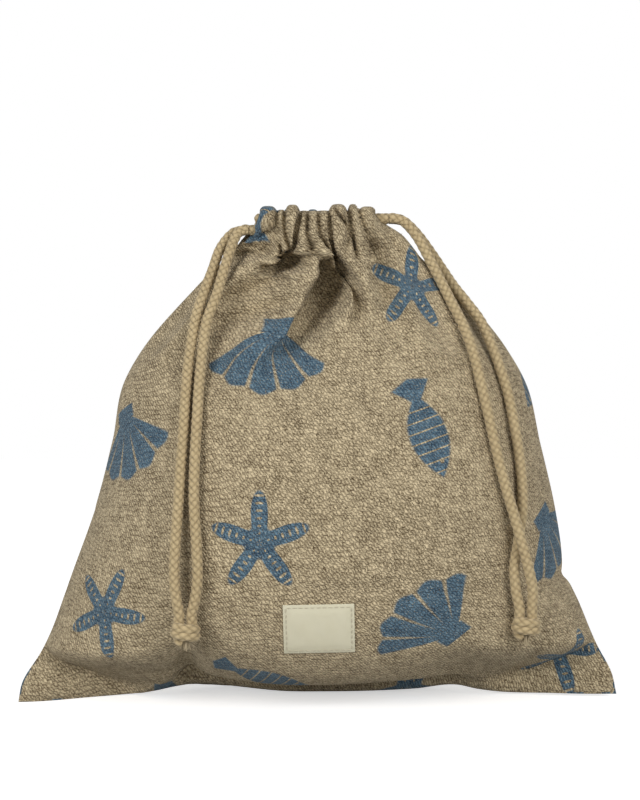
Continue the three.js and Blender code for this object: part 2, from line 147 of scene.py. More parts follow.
def ease(value, low, high):
    """0 below low, 1 above high, and a smooth rise between them."""
    share = np.clip((value - low) / (high - low), 0, 1)
    return share * share * (3 - 2 * share)


def even_line(points, step):
    """Points that lie evenly along a line, about step apart."""
    along = np.concatenate([[0], np.cumsum(np.linalg.norm(np.diff(points, axis=0), axis=1))])
    at = np.linspace(0, along[-1], max(2, round(along[-1] / step) + 1))
    return np.stack([np.interp(at, along, points[:, axis]) for axis in range(3)], axis=1)


def smooth_line(points, step):
    """A smooth line through hand-picked points, with even steps."""
    points = np.asarray(points, float)
    padded = np.concatenate([[2 * points[0] - points[1]], points, [2 * points[-1] - points[-2]]])
    share = np.linspace(0, 1, CURVE_STEPS, endpoint=False)[:, None]
    parts = []
    for a, b, c, d in zip(padded, padded[1:], padded[2:], padded[3:]):
        bend = 2 * a - 5 * b + 4 * c - d
        twist = 3 * b - a - 3 * c + d
        parts.append(b + (c - a) * share / 2 + bend * share**2 / 2 + twist * share**3 / 2)
    return even_line(np.concatenate([*parts, points[-1:]]), step)


# %% [markdown]
# ## Braided cord
# The drawcord is a round cotton braid: four yarns wind one way round it, four the other way, and they
# pass over and under each other, which leaves the small V shapes. A bump map would look flat at the cord's
# edges, so the braid is real relief. A grid is rolled into a tube along the cord's line, and each point is
# raised by how far the upper yarn stands out there.

# %% Roll a braid along a line
CORD = 5.5
BRAID_YARNS = 4
BRAID_LAY = 15.0
BRAID_RELIEF = 0.45
YARN_DIP = 0.38
AROUND = 40
RING_STEP = 0.42
WELD = 1e-7


def braid(turn, along):
    """How high the braid stands, and the place across the upper yarn."""
    right = BRAID_YARNS * (turn + along / BRAID_LAY)
    left = BRAID_YARNS * (turn - along / BRAID_LAY)
    right_over = (np.floor(right) + np.floor(left)) % 2 == 0
    across = np.where(right_over, right, left) % 1 - 0.5
    lengthwise = np.where(right_over, left, right) % 1 - 0.5
    height = np.sqrt(np.cos(np.pi * across)) * (1 - YARN_DIP + YARN_DIP * np.cos(np.pi * lengthwise))
    return height, across


def side_directions(line):
    """Two directions square to a line at each of its points, carried along without twist."""
    ahead = np.gradient(line, axis=0)
    ahead /= np.linalg.norm(ahead, axis=1, keepdims=True)
    first = np.empty_like(line)
    start = np.cross(ahead[0], (0.1, 0.2, 1) if abs(ahead[0][2]) < 0.9 else (1, 0.1, 0))
    for i, direction in enumerate(ahead):
        start = start - direction * (start @ direction)
        start = start / np.linalg.norm(start)
        first[i] = start
    return first, np.cross(ahead, first)


def braided_tube(name, line, diameter=CORD):
    """A closed braided tube along an even line in millimetres."""
    first, second = side_directions(line)
    along = np.arange(len(line)) * np.linalg.norm(line[1] - line[0])
    turn = np.linspace(0, 1, AROUND + 1)[:, None]
    height, across = braid(turn, along[None, :])
    radius = diameter / 2 - BRAID_RELIEF * (1 - height)
    angle = (2 * math.pi * turn)[..., None]
    points = line + radius[..., None] * (np.cos(angle) * first + np.sin(angle) * second)
    tube = grid_piece(name, points)
    # The relief is kept for the cord's material, which paints shade into the low places between yarns.
    for label, values in (("relief", height), ("fibre", across)):
        values = np.broadcast_to(values, points.shape[:2])
        layer = tube.data.attributes.new(label, "FLOAT", "POINT")
        layer.data.foreach_set("value", values.swapaxes(0, 1).astype(np.float32).ravel())
    edit_all(bpy.ops.mesh.remove_doubles, threshold=WELD)
    edit_all(bpy.ops.mesh.fill_holes, sides=0)
    return tube


# %% [markdown]
# ## The cords' routes
# Each cord makes a loop: through the front casing, round the far end, back through the rear casing, and
# out at its own end as two tails. The tails hang over the shoulder, lie on the front of the bag and meet
# at the knot. Their points were picked so that they rest on the cloth, and they are the same ones that
# the solids have.

# %% Write down the routes
CASING_END = 28.5
FIT = 0.3
CORD_Y = 4.4
MOUTH_BULGE = 7.5
TAIL_START = 36.25
TURN_REACH = 2.2
STRAIGHT = CORD / 2
TAIL_SPACING = 6.4
KNOT_TOP = 6.8
CORD_Z = {"left": 243.75, "right": 249.75}
OUTWARD = {"left": -1, "right": 1}
FRONT, BACK = -1, 1
FACE_SIDE = {"front": FRONT, "back": BACK}
KNOT_AT = {"left": (-65.3, -68.5, 45), "right": (103, -51.5, 45)}
ROUTES = {
    ("left", "front"): [
        (-43, -6, 240.5), (-47.5, -14.8, 227), (-52, -23, 210.5), (-56.3, -29.5, 198), (-58, -35.5, 186),
        (-59.5, -44, 168), (-60.2, -52, 151), (-61, -58.3, 131.5), (-61.3, -63, 110), (-60, -66.5, 89),
        (-59.3, -68.3, 74), (-60.3, -68.5, 63),
    ],
    ("left", "back"): [
        (-45, 0.5, 242), (-51, -6, 234), (-54.5, -12.5, 223.5), (-58.5, -19.5, 212), (-62.3, -27, 199.5),
        (-65, -36, 181), (-66.2, -43, 166), (-67, -51.5, 146), (-68.2, -57.3, 126), (-69, -61.2, 109.5),
        (-70.3, -65.5, 89.5), (-70.8, -68, 74), (-70, -68.5, 63),
    ],
    ("right", "front"): [
        (44, -4.2, 248), (50.5, -6, 240.5), (56, -8.2, 230.5), (62, -12, 218.5), (68, -18, 206),
        (73, -24, 195.5), (77.5, -31, 182.5), (81.2, -37, 167), (85, -41.5, 149.5), (89.2, -45, 130),
        (93, -47, 115), (97, -49.5, 101), (100.5, -52, 88), (104, -52.8, 75), (106.2, -52, 64),
    ],
    ("right", "back"): [
        (44.5, 3.2, 248.3), (51.5, 3.2, 241.5), (58.5, 2.5, 232), (64.5, 0.5, 223), (70, -4.5, 214.5),
        (76.5, -9, 206), (83.2, -13.5, 196.5), (88, -19.5, 185), (92.3, -25, 172.5), (96, -29, 159.5),
        (98.8, -33, 144), (101.2, -35, 129), (102.3, -38.5, 114), (102, -42.5, 101), (99.8, -45.4, 88),
        (97.5, -48.5, 75), (98, -50.5, 64),
    ],
}


def tail_line(end, face):
    """The line of one tail, from the casing to the top of its knot."""
    out, side = OUTWARD[end], FACE_SIDE[face]
    start = np.array([out * TAIL_START, side * CORD_Y, CORD_Z[end]])
    landing = np.array(KNOT_AT[end]) + (-side * TAIL_SPACING / 2, 0, KNOT_TOP)
    straight_out = start + (out * STRAIGHT, 0, 0)
    straight_in = landing + (0, 0, STRAIGHT)
    return smooth_line([start, straight_out, *ROUTES[end, face], straight_in, landing], RING_STEP)


tail_lines = {key: tail_line(*key) for key in ROUTES}
for key, line in tail_lines.items():
    print(key, "tail:", round(np.linalg.norm(np.diff(line, axis=0), axis=1).sum()), "mm")

# %% [markdown]
# ## The knots
# Both ends of a cord are tied together in one overhand knot. From the front it shows as two wraps, one
# above the other, that run into each other at the side, with a short frayed tip under them. The same
# braid follows a small spiral, drawn a little tighter, and the tip is a handful of loose yarns.

# %% Tie the knots
KNOT_WIDTH = 15.0
KNOT_FLATNESS = 0.86
KNOT_CORD = 5.3
KNOT_WRAPS = 2.15
KNOT_RISE = 3.6
KNOT_START = math.radians(150)
LEAD_IN, LEAD_STEEP, LEAD_RISE = 0.28, 9, 1.6
TIP_SEED = {"left": 5, "right": 6}
TIP_YARNS = 16
TIP_YARN = 0.7
TIP_SIDES = 5
TIP_LENGTH = 4.8
TIP_SPREAD = 1.7
TIP_DROP = 4.2


def knot_line(end):
    """Two wraps round the tails, with both ends led into the middle."""
    share = np.linspace(0, 1, 160)
    angle = 2 * math.pi * KNOT_WRAPS * share + KNOT_START
    inward = np.minimum(1, LEAD_STEEP * np.minimum(share, 1 - share) + LEAD_IN)
    reach = (KNOT_WIDTH - KNOT_CORD) / 2 * inward
    rise = KNOT_RISE * (1 - 2 * share) - LEAD_RISE * (1 - inward) * np.sign(share - 0.5)
    spiral = np.stack([reach * np.cos(angle), KNOT_FLATNESS * reach * np.sin(angle), rise], axis=1)
    return even_line(spiral + np.array(KNOT_AT[end]), RING_STEP)


def thin_tubes(name, lines, widths, sides):
    """One piece of many thin open tubes, each as wide along its line as the widths say."""
    angle = np.linspace(0, 2 * math.pi, sides, endpoint=False)[:, None, None]
    ids = np.arange(len(widths) * sides).reshape(-1, sides)
    turned = np.roll(ids, -1, axis=1)
    walls = np.stack([ids[:-1], turned[:-1], turned[1:], ids[1:]], axis=-1).reshape(-1, 4)
    points, faces = [], []
    for number, line in enumerate(lines):
        first, second = side_directions(line)
        rings = line + widths / 2 * (np.cos(angle) * first + np.sin(angle) * second)
        points.append(rings.swapaxes(0, 1).reshape(-1, 3))
        faces.append(walls + number * ids.size)
    return mesh_piece(name, np.concatenate(points), np.concatenate(faces))


def frayed_tip(end):
    """The loose yarns at the cut end of a cord, under its knot."""
    draw = np.random.default_rng(TIP_SEED[end])
    share = np.linspace(0, 1, 6)[:, None]
    lines = []
    for yarn in range(TIP_YARNS):
        angle = 2 * math.pi * yarn / TIP_YARNS
        around = np.array([math.cos(angle), math.sin(angle), 0])
        reach = TIP_SPREAD * math.sqrt(draw.random())
        lean = draw.uniform(-0.6, 1.2) * around
        length = TIP_LENGTH * draw.uniform(0.7, 1.1)
        start = np.array(KNOT_AT[end]) + reach * around - (0, 0, TIP_DROP)
        lines.append(start + share * (0, 0, -length) + share**1.7 * lean)
    return thin_tubes(end + "_cord_frayed_tip", lines, TIP_YARN * (1 - 0.5 * share), TIP_SIDES)


knots = {end: braided_tube(end + "_knot_wraps", knot_line(end), KNOT_CORD) for end in OUTWARD}
tips = {end: frayed_tip(end) for end in OUTWARD}
for end in OUTWARD:
    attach(knots[end], end + "_knot")
    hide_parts(end + "_knot")
    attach(tips[end], end + "_knot")
print("knots:", [len(knot.data.polygons) for knot in knots.values()], "faces")

# %% [markdown]
# ## The tails
# The tails are free cords. Each goes on a few millimetres into its knot, so no gap shows there. When the
# mouth is pulled open, cord runs back into the casing and the knot rises, and a limp cord then shortens as
# a whole.

# %% Lay the tails
KNOT_SINK = 4.2
sunk_part = np.arange(RING_STEP, KNOT_SINK, RING_STEP)[:, None] * (0, 0, -1)
tails = {}
for (end, face), line in tail_lines.items():
    tail = braided_tube(f"{end}_cord_{face}_tail_braid", np.vstack([line, line[-1] + sunk_part]))
    draw_joint = next(joint for joint in frame["joints"] if joint["name"] == end + "_draw")
    travel = draw_joint["range_m"][1]
    fall = (line[0][2] - line[-1][2]) * MM
    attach(tail, end + "_tail")
    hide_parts(f"{end}_cord_{face}_tail")
    1 - travel / fall
    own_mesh(tail)
    tails[end, face] = tail
print("tails:", sorted(tail.name for tail in tails.values()))

# %% [markdown]
# ## Cord in the casing
# Most of the rest of each cord is out of sight: a run in each casing, the turn round the far end, and
# the two short leads that come out beside the mouth. They are made from the same braid, because the leads
# and turns show when the mouth is open. The turns and rear leads join a still piece to one that slides
# away.


# %% Run the cords through the casing
def casing_middle(x):
    """How far the middle of the casing lies from the middle of the mouth."""
    return CORD_Y + MOUTH_BULGE * np.cos(math.pi / 2 * np.clip(x / CASING_END, -1, 1)) ** 2


def level_line(x, y, z):
    """A line at one height, with even steps."""
    return even_line(np.stack(np.broadcast_arrays(x, y, z), axis=1), RING_STEP)


def run_line(end, face):
    x = np.linspace(-CASING_END, CASING_END, 60)
    return level_line(x, FACE_SIDE[face] * casing_middle(x), CORD_Z[end])


def lead_line(end, face):
    x = OUTWARD[end] * np.array([CASING_END + FIT, TAIL_START - FIT])
    return level_line(x, FACE_SIDE[face] * CORD_Y, CORD_Z[end])


def turn_line(end):
    angle = np.linspace(-math.pi / 2, math.pi / 2, 40)
    x = -OUTWARD[end] * (CASING_END + FIT + TURN_REACH * np.cos(angle))
    return level_line(x, CORD_Y * np.sin(angle), CORD_Z[end])


hidden_cord = []
for end in OUTWARD:
    for face, body in (("front", "bag"), ("back", "mouth_back")):
        run = braided_tube(f"{end}_cord_{face}_run_braid", run_line(end, face))
        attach(run, body)
        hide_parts(f"{end}_cord_{face}_run")
        lead = braided_tube(f"{end}_cord_{face}_lead_braid", lead_line(end, face))
        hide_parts(f"{end}_cord_{face}_lead")
        if face == "front":
            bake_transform(lead)
        else:
            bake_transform(lead)
        hidden_cord += [run, lead]
    turn = braided_tube(end + "_cord_turn_braid", turn_line(end))
    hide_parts(end + "_cord_turn")
    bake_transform(turn)
    hidden_cord.append(turn)
print("cord in and beside the casing:", len(hidden_cord), "pieces")

# %% [markdown]
# ## The filled shape of the cloth
# A filled bag is taut round the belly and slack above it. Its outline comes from the photograph: wide
# flat corners at the bottom, sloping sides and round shoulders that run up to a narrow neck. The front
# hangs fuller below than the back, so a few of its numbers differ. Each panel is laid on that shape as an
# even grid of points.

# %% Shape the filled bag
COLUMNS, ROWS = 96, 96
PANEL_WIDTH, PANEL_HEIGHT = 318.0, 308.0
CASING_HEIGHT = 20.0
BAG_HEIGHT = 254.0
NECK_Z = BAG_HEIGHT - CASING_HEIGHT
BELLY_Z = 85.0
BASE_DEPTH, BELLY_DEPTH, NECK_DEPTH = 26.0, 70.0, 20.5
BELLY_ROUND = {FRONT: 2.3, BACK: 2.0}
SHOULDER_ROUND = 1.9
CROWN_ROUND = 2.4
CORNER_POWER = {FRONT: 1.15, BACK: 1.4}
SIDE_POWER = 0.6
EAR_Z = {FRONT: 30.0, BACK: 70.0}
EAR_SHARE = 0.643
LIP_DEPTH, LIP_Z = 9, (214, 240)
BASE_SHARE = 0.10
EDGE_HEIGHTS = (0, 10, 24, 53, 58, 62, 68, 99, 133, 166, 194, 214, 235, 254)
LEFT_EDGE = (155.5, 153.7, 145.2, 133.6, 131.8, 130.4, 128.2, 117, 107.8, 101.3, 83, 64.4, 44, 30.5)
RIGHT_EDGE = (155.5, 153, 145.7, 133.4, 130.8, 127.4, 127.4, 123.5, 115.4, 107.3, 89, 72.5, 50, 29)


def bend_through(at, places, values):
    """A smooth curve through a few values."""
    places, values = np.array(places, float), np.array(values, float)
    slope = np.gradient(values, places)
    i = np.clip(np.searchsorted(places, at) - 1, 0, len(places) - 2)
    gap = places[i + 1] - places[i]
    t = (at - places[i]) / gap
    rise = (1 + 2 * t) * (1 - t) ** 2 * values[i] + t * (1 - t) ** 2 * gap * slope[i]
    return rise + t * t * (3 - 2 * t) * values[i + 1] + t * t * (t - 1) * gap * slope[i + 1]


def half_depth(z, side):
    """How far the middle of a panel stands from the middle of the bag."""
    power = BELLY_ROUND[side]
    below = np.clip(1 - z / BELLY_Z, 0, 1)
    above = np.clip((z - BELLY_Z) / (NECK_Z - BELLY_Z), 0, 1)
    low = BASE_DEPTH + (BELLY_DEPTH - BASE_DEPTH) * (1 - below**power) ** (1 / power)
    high = NECK_DEPTH + (BELLY_DEPTH - NECK_DEPTH) * (1 - above**SHOULDER_ROUND)
    return np.where(z < BELLY_Z, low, high)


def filled_shape(across, up, side):
    """Points of a panel as if behind the middle; across is -1 to 1, up 0 at the seam and 1 at the rim."""
    z = BAG_HEIGHT * np.clip((up - BASE_SHARE) / (1 - BASE_SHARE), 0, 1)
    under = np.clip(up / BASE_SHARE, 0, 1)
    left, right = (bend_through(z, EDGE_HEIGHTS, edge) for edge in (LEFT_EDGE, RIGHT_EDGE))
    half, middle = (left + right) / 2, (right - left) / 2
    x = middle + half * np.sin(across * math.pi / 2)
    above_ears = ease(z, 0, EAR_Z[side])
    reach = half * (EAR_SHARE + (1 - EAR_SHARE) * above_ears)
    out = np.clip(np.abs(x - middle) / reach, 0, 1)
    power = CORNER_POWER[side] + (SIDE_POWER - CORNER_POWER[side]) * above_ears
    lip = LIP_DEPTH * ease(z, *LIP_Z)
    y = lip + np.maximum(0, half_depth(z, side) - lip) * under * (1 - out**CROWN_ROUND) ** power
    return np.stack([x, y, z], axis=-1)


def spread_evenly(points, count, axis):
    """The same surface with evenly spaced points along one axis of its grid."""
    points = np.moveaxis(points, axis, 0)
    step = np.linalg.norm(np.diff(points, axis=0), axis=-1)
    along = np.concatenate([np.zeros_like(step[:1]), np.cumsum(step, axis=0)])
    even = np.empty((count, *points.shape[1:]))
    for j in range(points.shape[1]):
        at = np.linspace(0, along[-1, j], count)
        for k in range(3):
            even[:, j, k] = np.interp(at, along[:, j], points[:, j, k])
    return np.moveaxis(even, 0, axis)


across, up = np.meshgrid(np.linspace(-1, 1, 241), np.linspace(0, 1, 281), indexing="ij")
taut = {}
for side in (FRONT, BACK):
    columns = spread_evenly(filled_shape(across, up, side), COLUMNS + 1, 0)
    taut[side] = spread_evenly(columns, ROWS + 1, 1)
    print("filled shape:", taut[side].shape, "deepest:", round(taut[side][..., 1].max()), "mm")

# %% [markdown]
# ## Pleats round the mouth
# Three hundred millimetres of cloth are gathered into a mouth of under sixty, so the casing stands in
# round lobes with a crease between each two. The lobes of a real bag are uneven: some are wide and push
# the rim up, others are pressed flat in the middle. Each entry below is a crease, with its place at the
# rim and lower down, and how far the lobe beside it bulges and lifts the rim.

# %% Gather the casing
FRONT_PLEATS = (
    (-31.0, -45.0, 4.6, 2.7), (-21.6, -24.0, 1.8, 0.8), (-17.5, -19.0, 5.0, 3.2), (-9.8, -14.5, 2.0, 0.1),
    (-5.7, -6.5, 2.2, 0.0), (-0.5, 1.5, 2.4, 0.1), (4.9, 8.0, 4.2, 3.5), (14.6, 21.0, 3.4, 3.6),
    (20.3, 31.0, 3.0, 2.5), (29.5, 46.0, 0, 0),
)
BACK_PLEATS = (
    (-31.0, -45.0, 3.6, 2.2), (-24.0, -30.0, 2.6, 1.2), (-18.5, -21.0, 4.4, 2.8), (-11.0, -14.0, 2.4, 0.6),
    (-6.2, -8.0, 3.4, 2.0), (-0.4, 0.0, 2.6, 1.0), (4.4, 6.0, 4.2, 2.6), (11.4, 15.0, 2.4, 1.0),
    (16.2, 21.0, 3.8, 2.4), (22.6, 31.0, 2.6, 1.4), (29.5, 46.0, 0, 0),
)
PLEATS = {FRONT: FRONT_PLEATS, BACK: BACK_PLEATS}
PLEAT_LENGTH = 32
GATHER_Z = (216, 238)
CLOTH = 0.9
CORD_ROOM = CORD / 2 + CLOTH + 0.45
INNER_CLEAR = CORD / 2 + CLOTH + 0.2
LOBE_ROOM = 2.0
LOBE_POWER = 3.6


def pleat_lobes(x, z, pleats):
    """How far the lobes between the creases bulge, and how far they lift the rim."""
    bulge, rise = np.zeros_like(x), np.zeros_like(x)
    drop = np.clip((BAG_HEIGHT - z) / PLEAT_LENGTH, 0, 1)
    for this, following in zip(pleats, pleats[1:]):
        left = this[0] + (this[1] - this[0]) * drop
        right = following[0] + (following[1] - following[0]) * drop
        arch = 1 - np.clip(np.abs(2 * (x - left) / (right - left) - 1), 0, 1) ** LOBE_POWER
        bulge += (this[2] + LOBE_ROOM) * arch
        rise += this[3] * arch
    return bulge, rise


def gathered(panel, pleats):
    """The panel with its top drawn in round the cords, in lobes."""
    x, z = panel[..., 0], panel[..., 2]
    casing = casing_middle(x) + CORD_ROOM + pleat_lobes(x, z, pleats)[0]
    drawn = panel.copy()
    drawn[..., 1] += (casing - panel[..., 1]) * ease(z, *GATHER_Z)
    return drawn


print("lobes:", len(FRONT_PLEATS) - 1, "in front,", len(BACK_PLEATS) - 1, "behind")

# %% [markdown]
# ## Folds and hollows
# Below the casing some creases open into long folds, and one in front is a deep dark pocket whose left lip
# hangs over it. Folds like these are placed one by one, as one would with a sculpting brush: each has a
# course over the panel, with a width and a depth at every point, and nearby cloth is pressed in by its
# distance from that course. A high power makes the steep walls of a pocket, a low one the slopes of a soft
# fold.
# A lean, in millimetres across and up, is how far the lip on that side hangs over, and the wall that it
# hangs over is then a gentle slope.

# %% Write down the folds
POCKET, CREASE, SOFT = 5.0, 2.2, 1.7
FAR_SLOPE = 3.0
UPRIGHT = (0, 0)
FRONT_FOLDS = (
    (POCKET, (9, 0), (
        (1.6, 244, 0.8, 0), (2, 236, 0.9, 7), (2.8, 229, 1.2, 14), (5, 222.5, 4.2, 31), (6, 217, 6.2, 36),
        (4.6, 212, 6.4, 35), (1.6, 206.8, 6.6, 32), (-2.4, 200, 6.2, 24), (-7.5, 194, 4.8, 19),
        (-12.5, 186, 3.6, 13), (-17, 178, 3, 4), (-21, 170, 3, 0),
    )),
    (CREASE, (0, -3.5), (
        (-21.6, 250, 0.9, 2), (-22, 245, 1.1, 8), (-28.5, 240.5, 2.4, 17), (-32.2, 237.2, 3, 19),
        (-38, 233, 3.4, 16), (-45.2, 228.5, 3.4, 10), (-54, 222, 3.4, 0),
    )),
    (POCKET, (3.5, -3.5), (
        (-9.5, 251, 0.8, 2), (-12.5, 243, 1, 7), (-13.8, 236, 1.4, 12), (-17.2, 230.5, 2.4, 20),
        (-19.5, 226.3, 3.3, 27), (-24.8, 223.6, 2.4, 16), (-32, 220.5, 3, 0),
    )),
    (POCKET, (3, 0), (
        (5, 250, 0.8, 2), (5.6, 238, 1, 8), (8.5, 229, 1.9, 16), (13.8, 222, 2.4, 20), (18.6, 215, 2.4, 15),
        (20.6, 207, 2.8, 11), (21, 200, 3, 6), (20, 190, 3, 0),
    )),
    (CREASE, UPRIGHT, (
        (7.5, 255, 0.9, 3), (10.5, 250, 1, 5), (14.4, 246, 1.1, 5), (15, 240, 1.2, 5), (13, 229, 1.4, 0),
    )),
    (SOFT, UPRIGHT, (
        (24, 244, 3, 0), (29, 235, 4.5, 8), (33, 222, 5.5, 12), (33.5, 207, 6, 9), (30, 188, 7, 0),
    )),
    (SOFT, UPRIGHT, (
        (-20, 226, 3.5, 0), (-28, 218.5, 5, 13), (-39, 212, 5.5, 13), (-50, 207.5, 5.5, 8), (-60, 203, 5, 0),
    )),
    (SOFT, UPRIGHT, (
        (-16, 211, 4, 0), (-27, 206, 5, 11), (-40, 200.5, 5.5, 13), (-53, 194.5, 6, 10), (-66, 188, 6, 0),
    )),
    (SOFT, UPRIGHT, ((-18, 180, 7, 0), (-25, 155, 9, 2.5), (-12, 132, 9, 0))),
    (SOFT, UPRIGHT, ((114, 38, 4, 0), (107, 24, 4.5, 3.5), (99, 14, 4.5, 2.6), (90, 9, 4, 0))),
)
BACK_FOLDS = (
    (POCKET, UPRIGHT, (
        (1, 246, 1, 0), (2, 234, 1.8, 10), (4, 222, 3.6, 15), (9, 208, 5, 15), (14, 194, 5, 9),
        (18, 178, 5, 0),
    )),
    (CREASE, UPRIGHT, (
        (-18, 248, 1, 2), (-21, 238, 1.5, 7), (-27, 228, 3, 11), (-36, 213, 4, 7), (-44, 200, 5, 0),
    )),
    (POCKET, UPRIGHT, (
        (-8, 248, 1, 2), (-9.5, 238, 1.4, 7), (-13, 226, 3, 12), (-17, 212, 4, 9), (-20, 196, 5, 0),
    )),
    (POCKET, UPRIGHT, (
        (16, 248, 1, 2), (20, 238, 1.5, 7), (26, 226, 3.5, 12), (33, 210, 4.5, 8), (38, 194, 5, 0),
    )),
    (CREASE, UPRIGHT, ((24, 246, 1, 2), (32, 236, 2, 6), (43, 224, 3, 6), (54, 212, 4, 0))),
    (SOFT, UPRIGHT, ((-20, 182, 8, 0), (-10, 160, 9, 2.5), (4, 140, 9, 0))),
)
EAR_BENDS = (
    (SOFT, UPRIGHT, (
        (-142, 14, 2.5, 0), (-128, 15.5, 3, 2.5), (-112, 16.5, 3.5, 4), (-99, 17, 4, 5.5),
        (-88, 13.5, 4.2, 5.5), (-76, 8.5, 4, 4), (-66, 6, 4, 0),
    )),
    (SOFT, UPRIGHT, ((147, 33, 2.5, 0), (137, 25.5, 3, 2.4), (126, 16.5, 3.5, 2.4), (112, 9, 4, 0))),
)
FOLDS = {FRONT: FRONT_FOLDS, BACK: BACK_FOLDS}
CREASE_WIDTH, CREASE_DEPTH = 0.75, 7.0
CREASE_TOP = BAG_HEIGHT + 4
CREASE_PLACES = ((0.5, 1.2, 0.7), (0.85, 1.6, 0))


def casing_creases(pleats):
    """A narrow fold along each crease between two lobes, wider and shallower further down."""
    for rim_x, low_x, _, _ in pleats[1:-2]:
        course = [(rim_x, CREASE_TOP, CREASE_WIDTH, CREASE_DEPTH)]
        for drop, wide, deep in CREASE_PLACES:
            x, z = rim_x + drop * (low_x - rim_x), BAG_HEIGHT - drop * PLEAT_LENGTH
            course.append((x, z, wide * CREASE_WIDTH, deep * CREASE_DEPTH))
        yield CREASE, UPRIGHT, course


print("folds:", len(FRONT_FOLDS), "in front,", len(BACK_FOLDS), "behind")


# %% Press the folds in
VENT_FROM = PANEL_HEIGHT - 44
POCKET_FLOOR = {FRONT: -6, BACK: 9}
LAYERS_Z = (NECK_Z - 3, NECK_Z + 1)
CORDS_Z = (NECK_Z + 3, NECK_Z + 6.5)
STATIONS = 12
LEANING_WIDTH = 3
LIP_PLACE, LIP_OUTSIDE, LIP_INSIDE = 1.25, 2.2, 0.6
FULL_LIP = 12


def grid_places(panel):
    """How far across the panel each column lies, from 0 to 1, and how far up the cloth each row lies."""
    columns, rows = panel.shape[:2]
    return np.linspace(0, 1, columns)[:, None], np.linspace(0, PANEL_HEIGHT, rows)[None, :]


def near_course(panel, lean, course):
    """Each point's distance from a fold's course, in half widths, and the fold's depth there."""
    course = np.array(course, float)
    stations = np.linspace(0, len(course) - 1, STATIONS * len(course))
    x, z, width, depth = (bend_through(stations, range(len(course)), part) for part in course.T)
    leaning = np.clip(width / LEANING_WIDTH, 0, 1)
    line = np.stack([x, z], axis=1) - np.asarray(lean) / 2 * leaning[:, None]
    width = width + np.linalg.norm(lean) * leaning / 2
    reach, deep = [], []
    for row in panel[..., [0, 2]]:
        away = row[:, None, :] - line
        nearest = np.linalg.norm(away, axis=2).argmin(axis=1)
        away = away[np.arange(len(row)), nearest]
        side = np.where(away @ np.asarray(lean) < 0, -1, 1)
        reach.append(side * np.linalg.norm(away, axis=1) / width[nearest])
        deep.append(np.maximum(depth, 0)[nearest])
    return np.array(reach), np.array(deep)


def fold_depth(panel, folds):
    """How far the folds press a panel in, at each of its points."""
    total = np.zeros(panel.shape[:2])
    for power, lean, course in folds:
        reach, deep = near_course(panel, lean, course)
        steepness = np.where((reach > 0) & (lean != UPRIGHT), min(power, FAR_SLOPE), power)
        total += deep * np.exp(-np.abs(reach) ** steepness)
    return total


def leaning_lips(panel, folds):
    """How far, across and up, the lips of folds lean over them."""
    total = np.zeros((*panel.shape[:2], 3))
    for _, lean, course in folds:
        if lean != UPRIGHT:
            reach, deep = near_course(panel, lean, course)
            spread = np.where(reach < -LIP_PLACE, LIP_OUTSIDE, LIP_INSIDE)
            share = np.clip(deep / FULL_LIP, 0, 1) * np.exp(-(((reach + LIP_PLACE) / spread) ** 2))
            total += share[..., None] * (lean[0], 0, lean[1])
    return total


def pressed(panel, side, folds, share):
    """A panel with part of its folds pressed in, clear of the cords and of the other panel."""
    place, height = grid_places(panel)
    x, z = panel[..., 0], panel[..., 2]
    sewn = np.where(height < VENT_FROM, np.clip(2 * np.sin(math.pi * place), 0, 1), 1)
    cords = casing_middle(x) + CORD_ROOM
    layers = np.maximum(casing_middle(x) - INNER_CLEAR, 0) + 3 * CLOTH
    floor = np.where(z < EAR_SWING_Z, 2 * CLOTH - side * ear_swing(panel), POCKET_FLOOR[side])
    inner = floor + (layers - floor) * ease(z, *LAYERS_Z)
    inner = inner + (cords - inner) * ease(z, *CORDS_Z)
    out = side * panel[..., 1]
    folded = panel.copy()
    folded[..., 1] = side * np.maximum(out - share * sewn * fold_depth(panel, folds), np.minimum(out, inner))
    return folded


print("deepest fold:", max(place[3] for _, _, course in FRONT_FOLDS for place in course), "mm")

# %% [markdown]
# ## Standing on the table
# The filling lifts the front edge of the base, so a dark gap shows under it, highest beside the left
# corner. The lift is written as a few heights along the bottom, joined by a smooth curve. The corners are
# two layers of flat cloth that lean forward and have a soft bend of their own.

# %% Lift the base and lean the corners
LIFT_PLACES = (-156, -128, -104, -86, -76, -67, -58, -46, -18, 5, 28, 50, 74, 82, 92, 125, 156)
FRONT_LIFT = (0, 0.3, 1.6, 5.6, 11, 19.5, 15.5, 13.5, 11.5, 11.5, 12.3, 13, 13.2, 10.5, 8, 4, 3)
SEAM_LIFT = (0, 0, 0.4, 2.4, 4.6, 6, 6.2, 5, 2.2, 2, 2.4, 3.5, 5.4, 3.6, 2.2, 1.6, 2)
BASE_REACH = {FRONT: 10, BACK: 28}
LIFT_FADE = (32, 120)
CORNER_X, EAR_X = (88, 108), (100, 155)
EAR_SWING_Z = 46.0
LEFT_SWING, RIGHT_SWING = 17.0, 6.0
UNBENT_EDGE = 0.03
SEAM_EDGE, SEAM_FOOT = 0.01, 6
START_SHARE, FINAL_SHARE = 0.2, 0.95


def ear_swing(panel):
    """How far the flat bottom corners lean towards the front."""
    x, z = panel[..., 0], panel[..., 2]
    lean = np.where(x < 0, LEFT_SWING, RIGHT_SWING)
    return lean * ease(np.abs(x), *EAR_X) * (1 - ease(z, 0, EAR_SWING_Z))


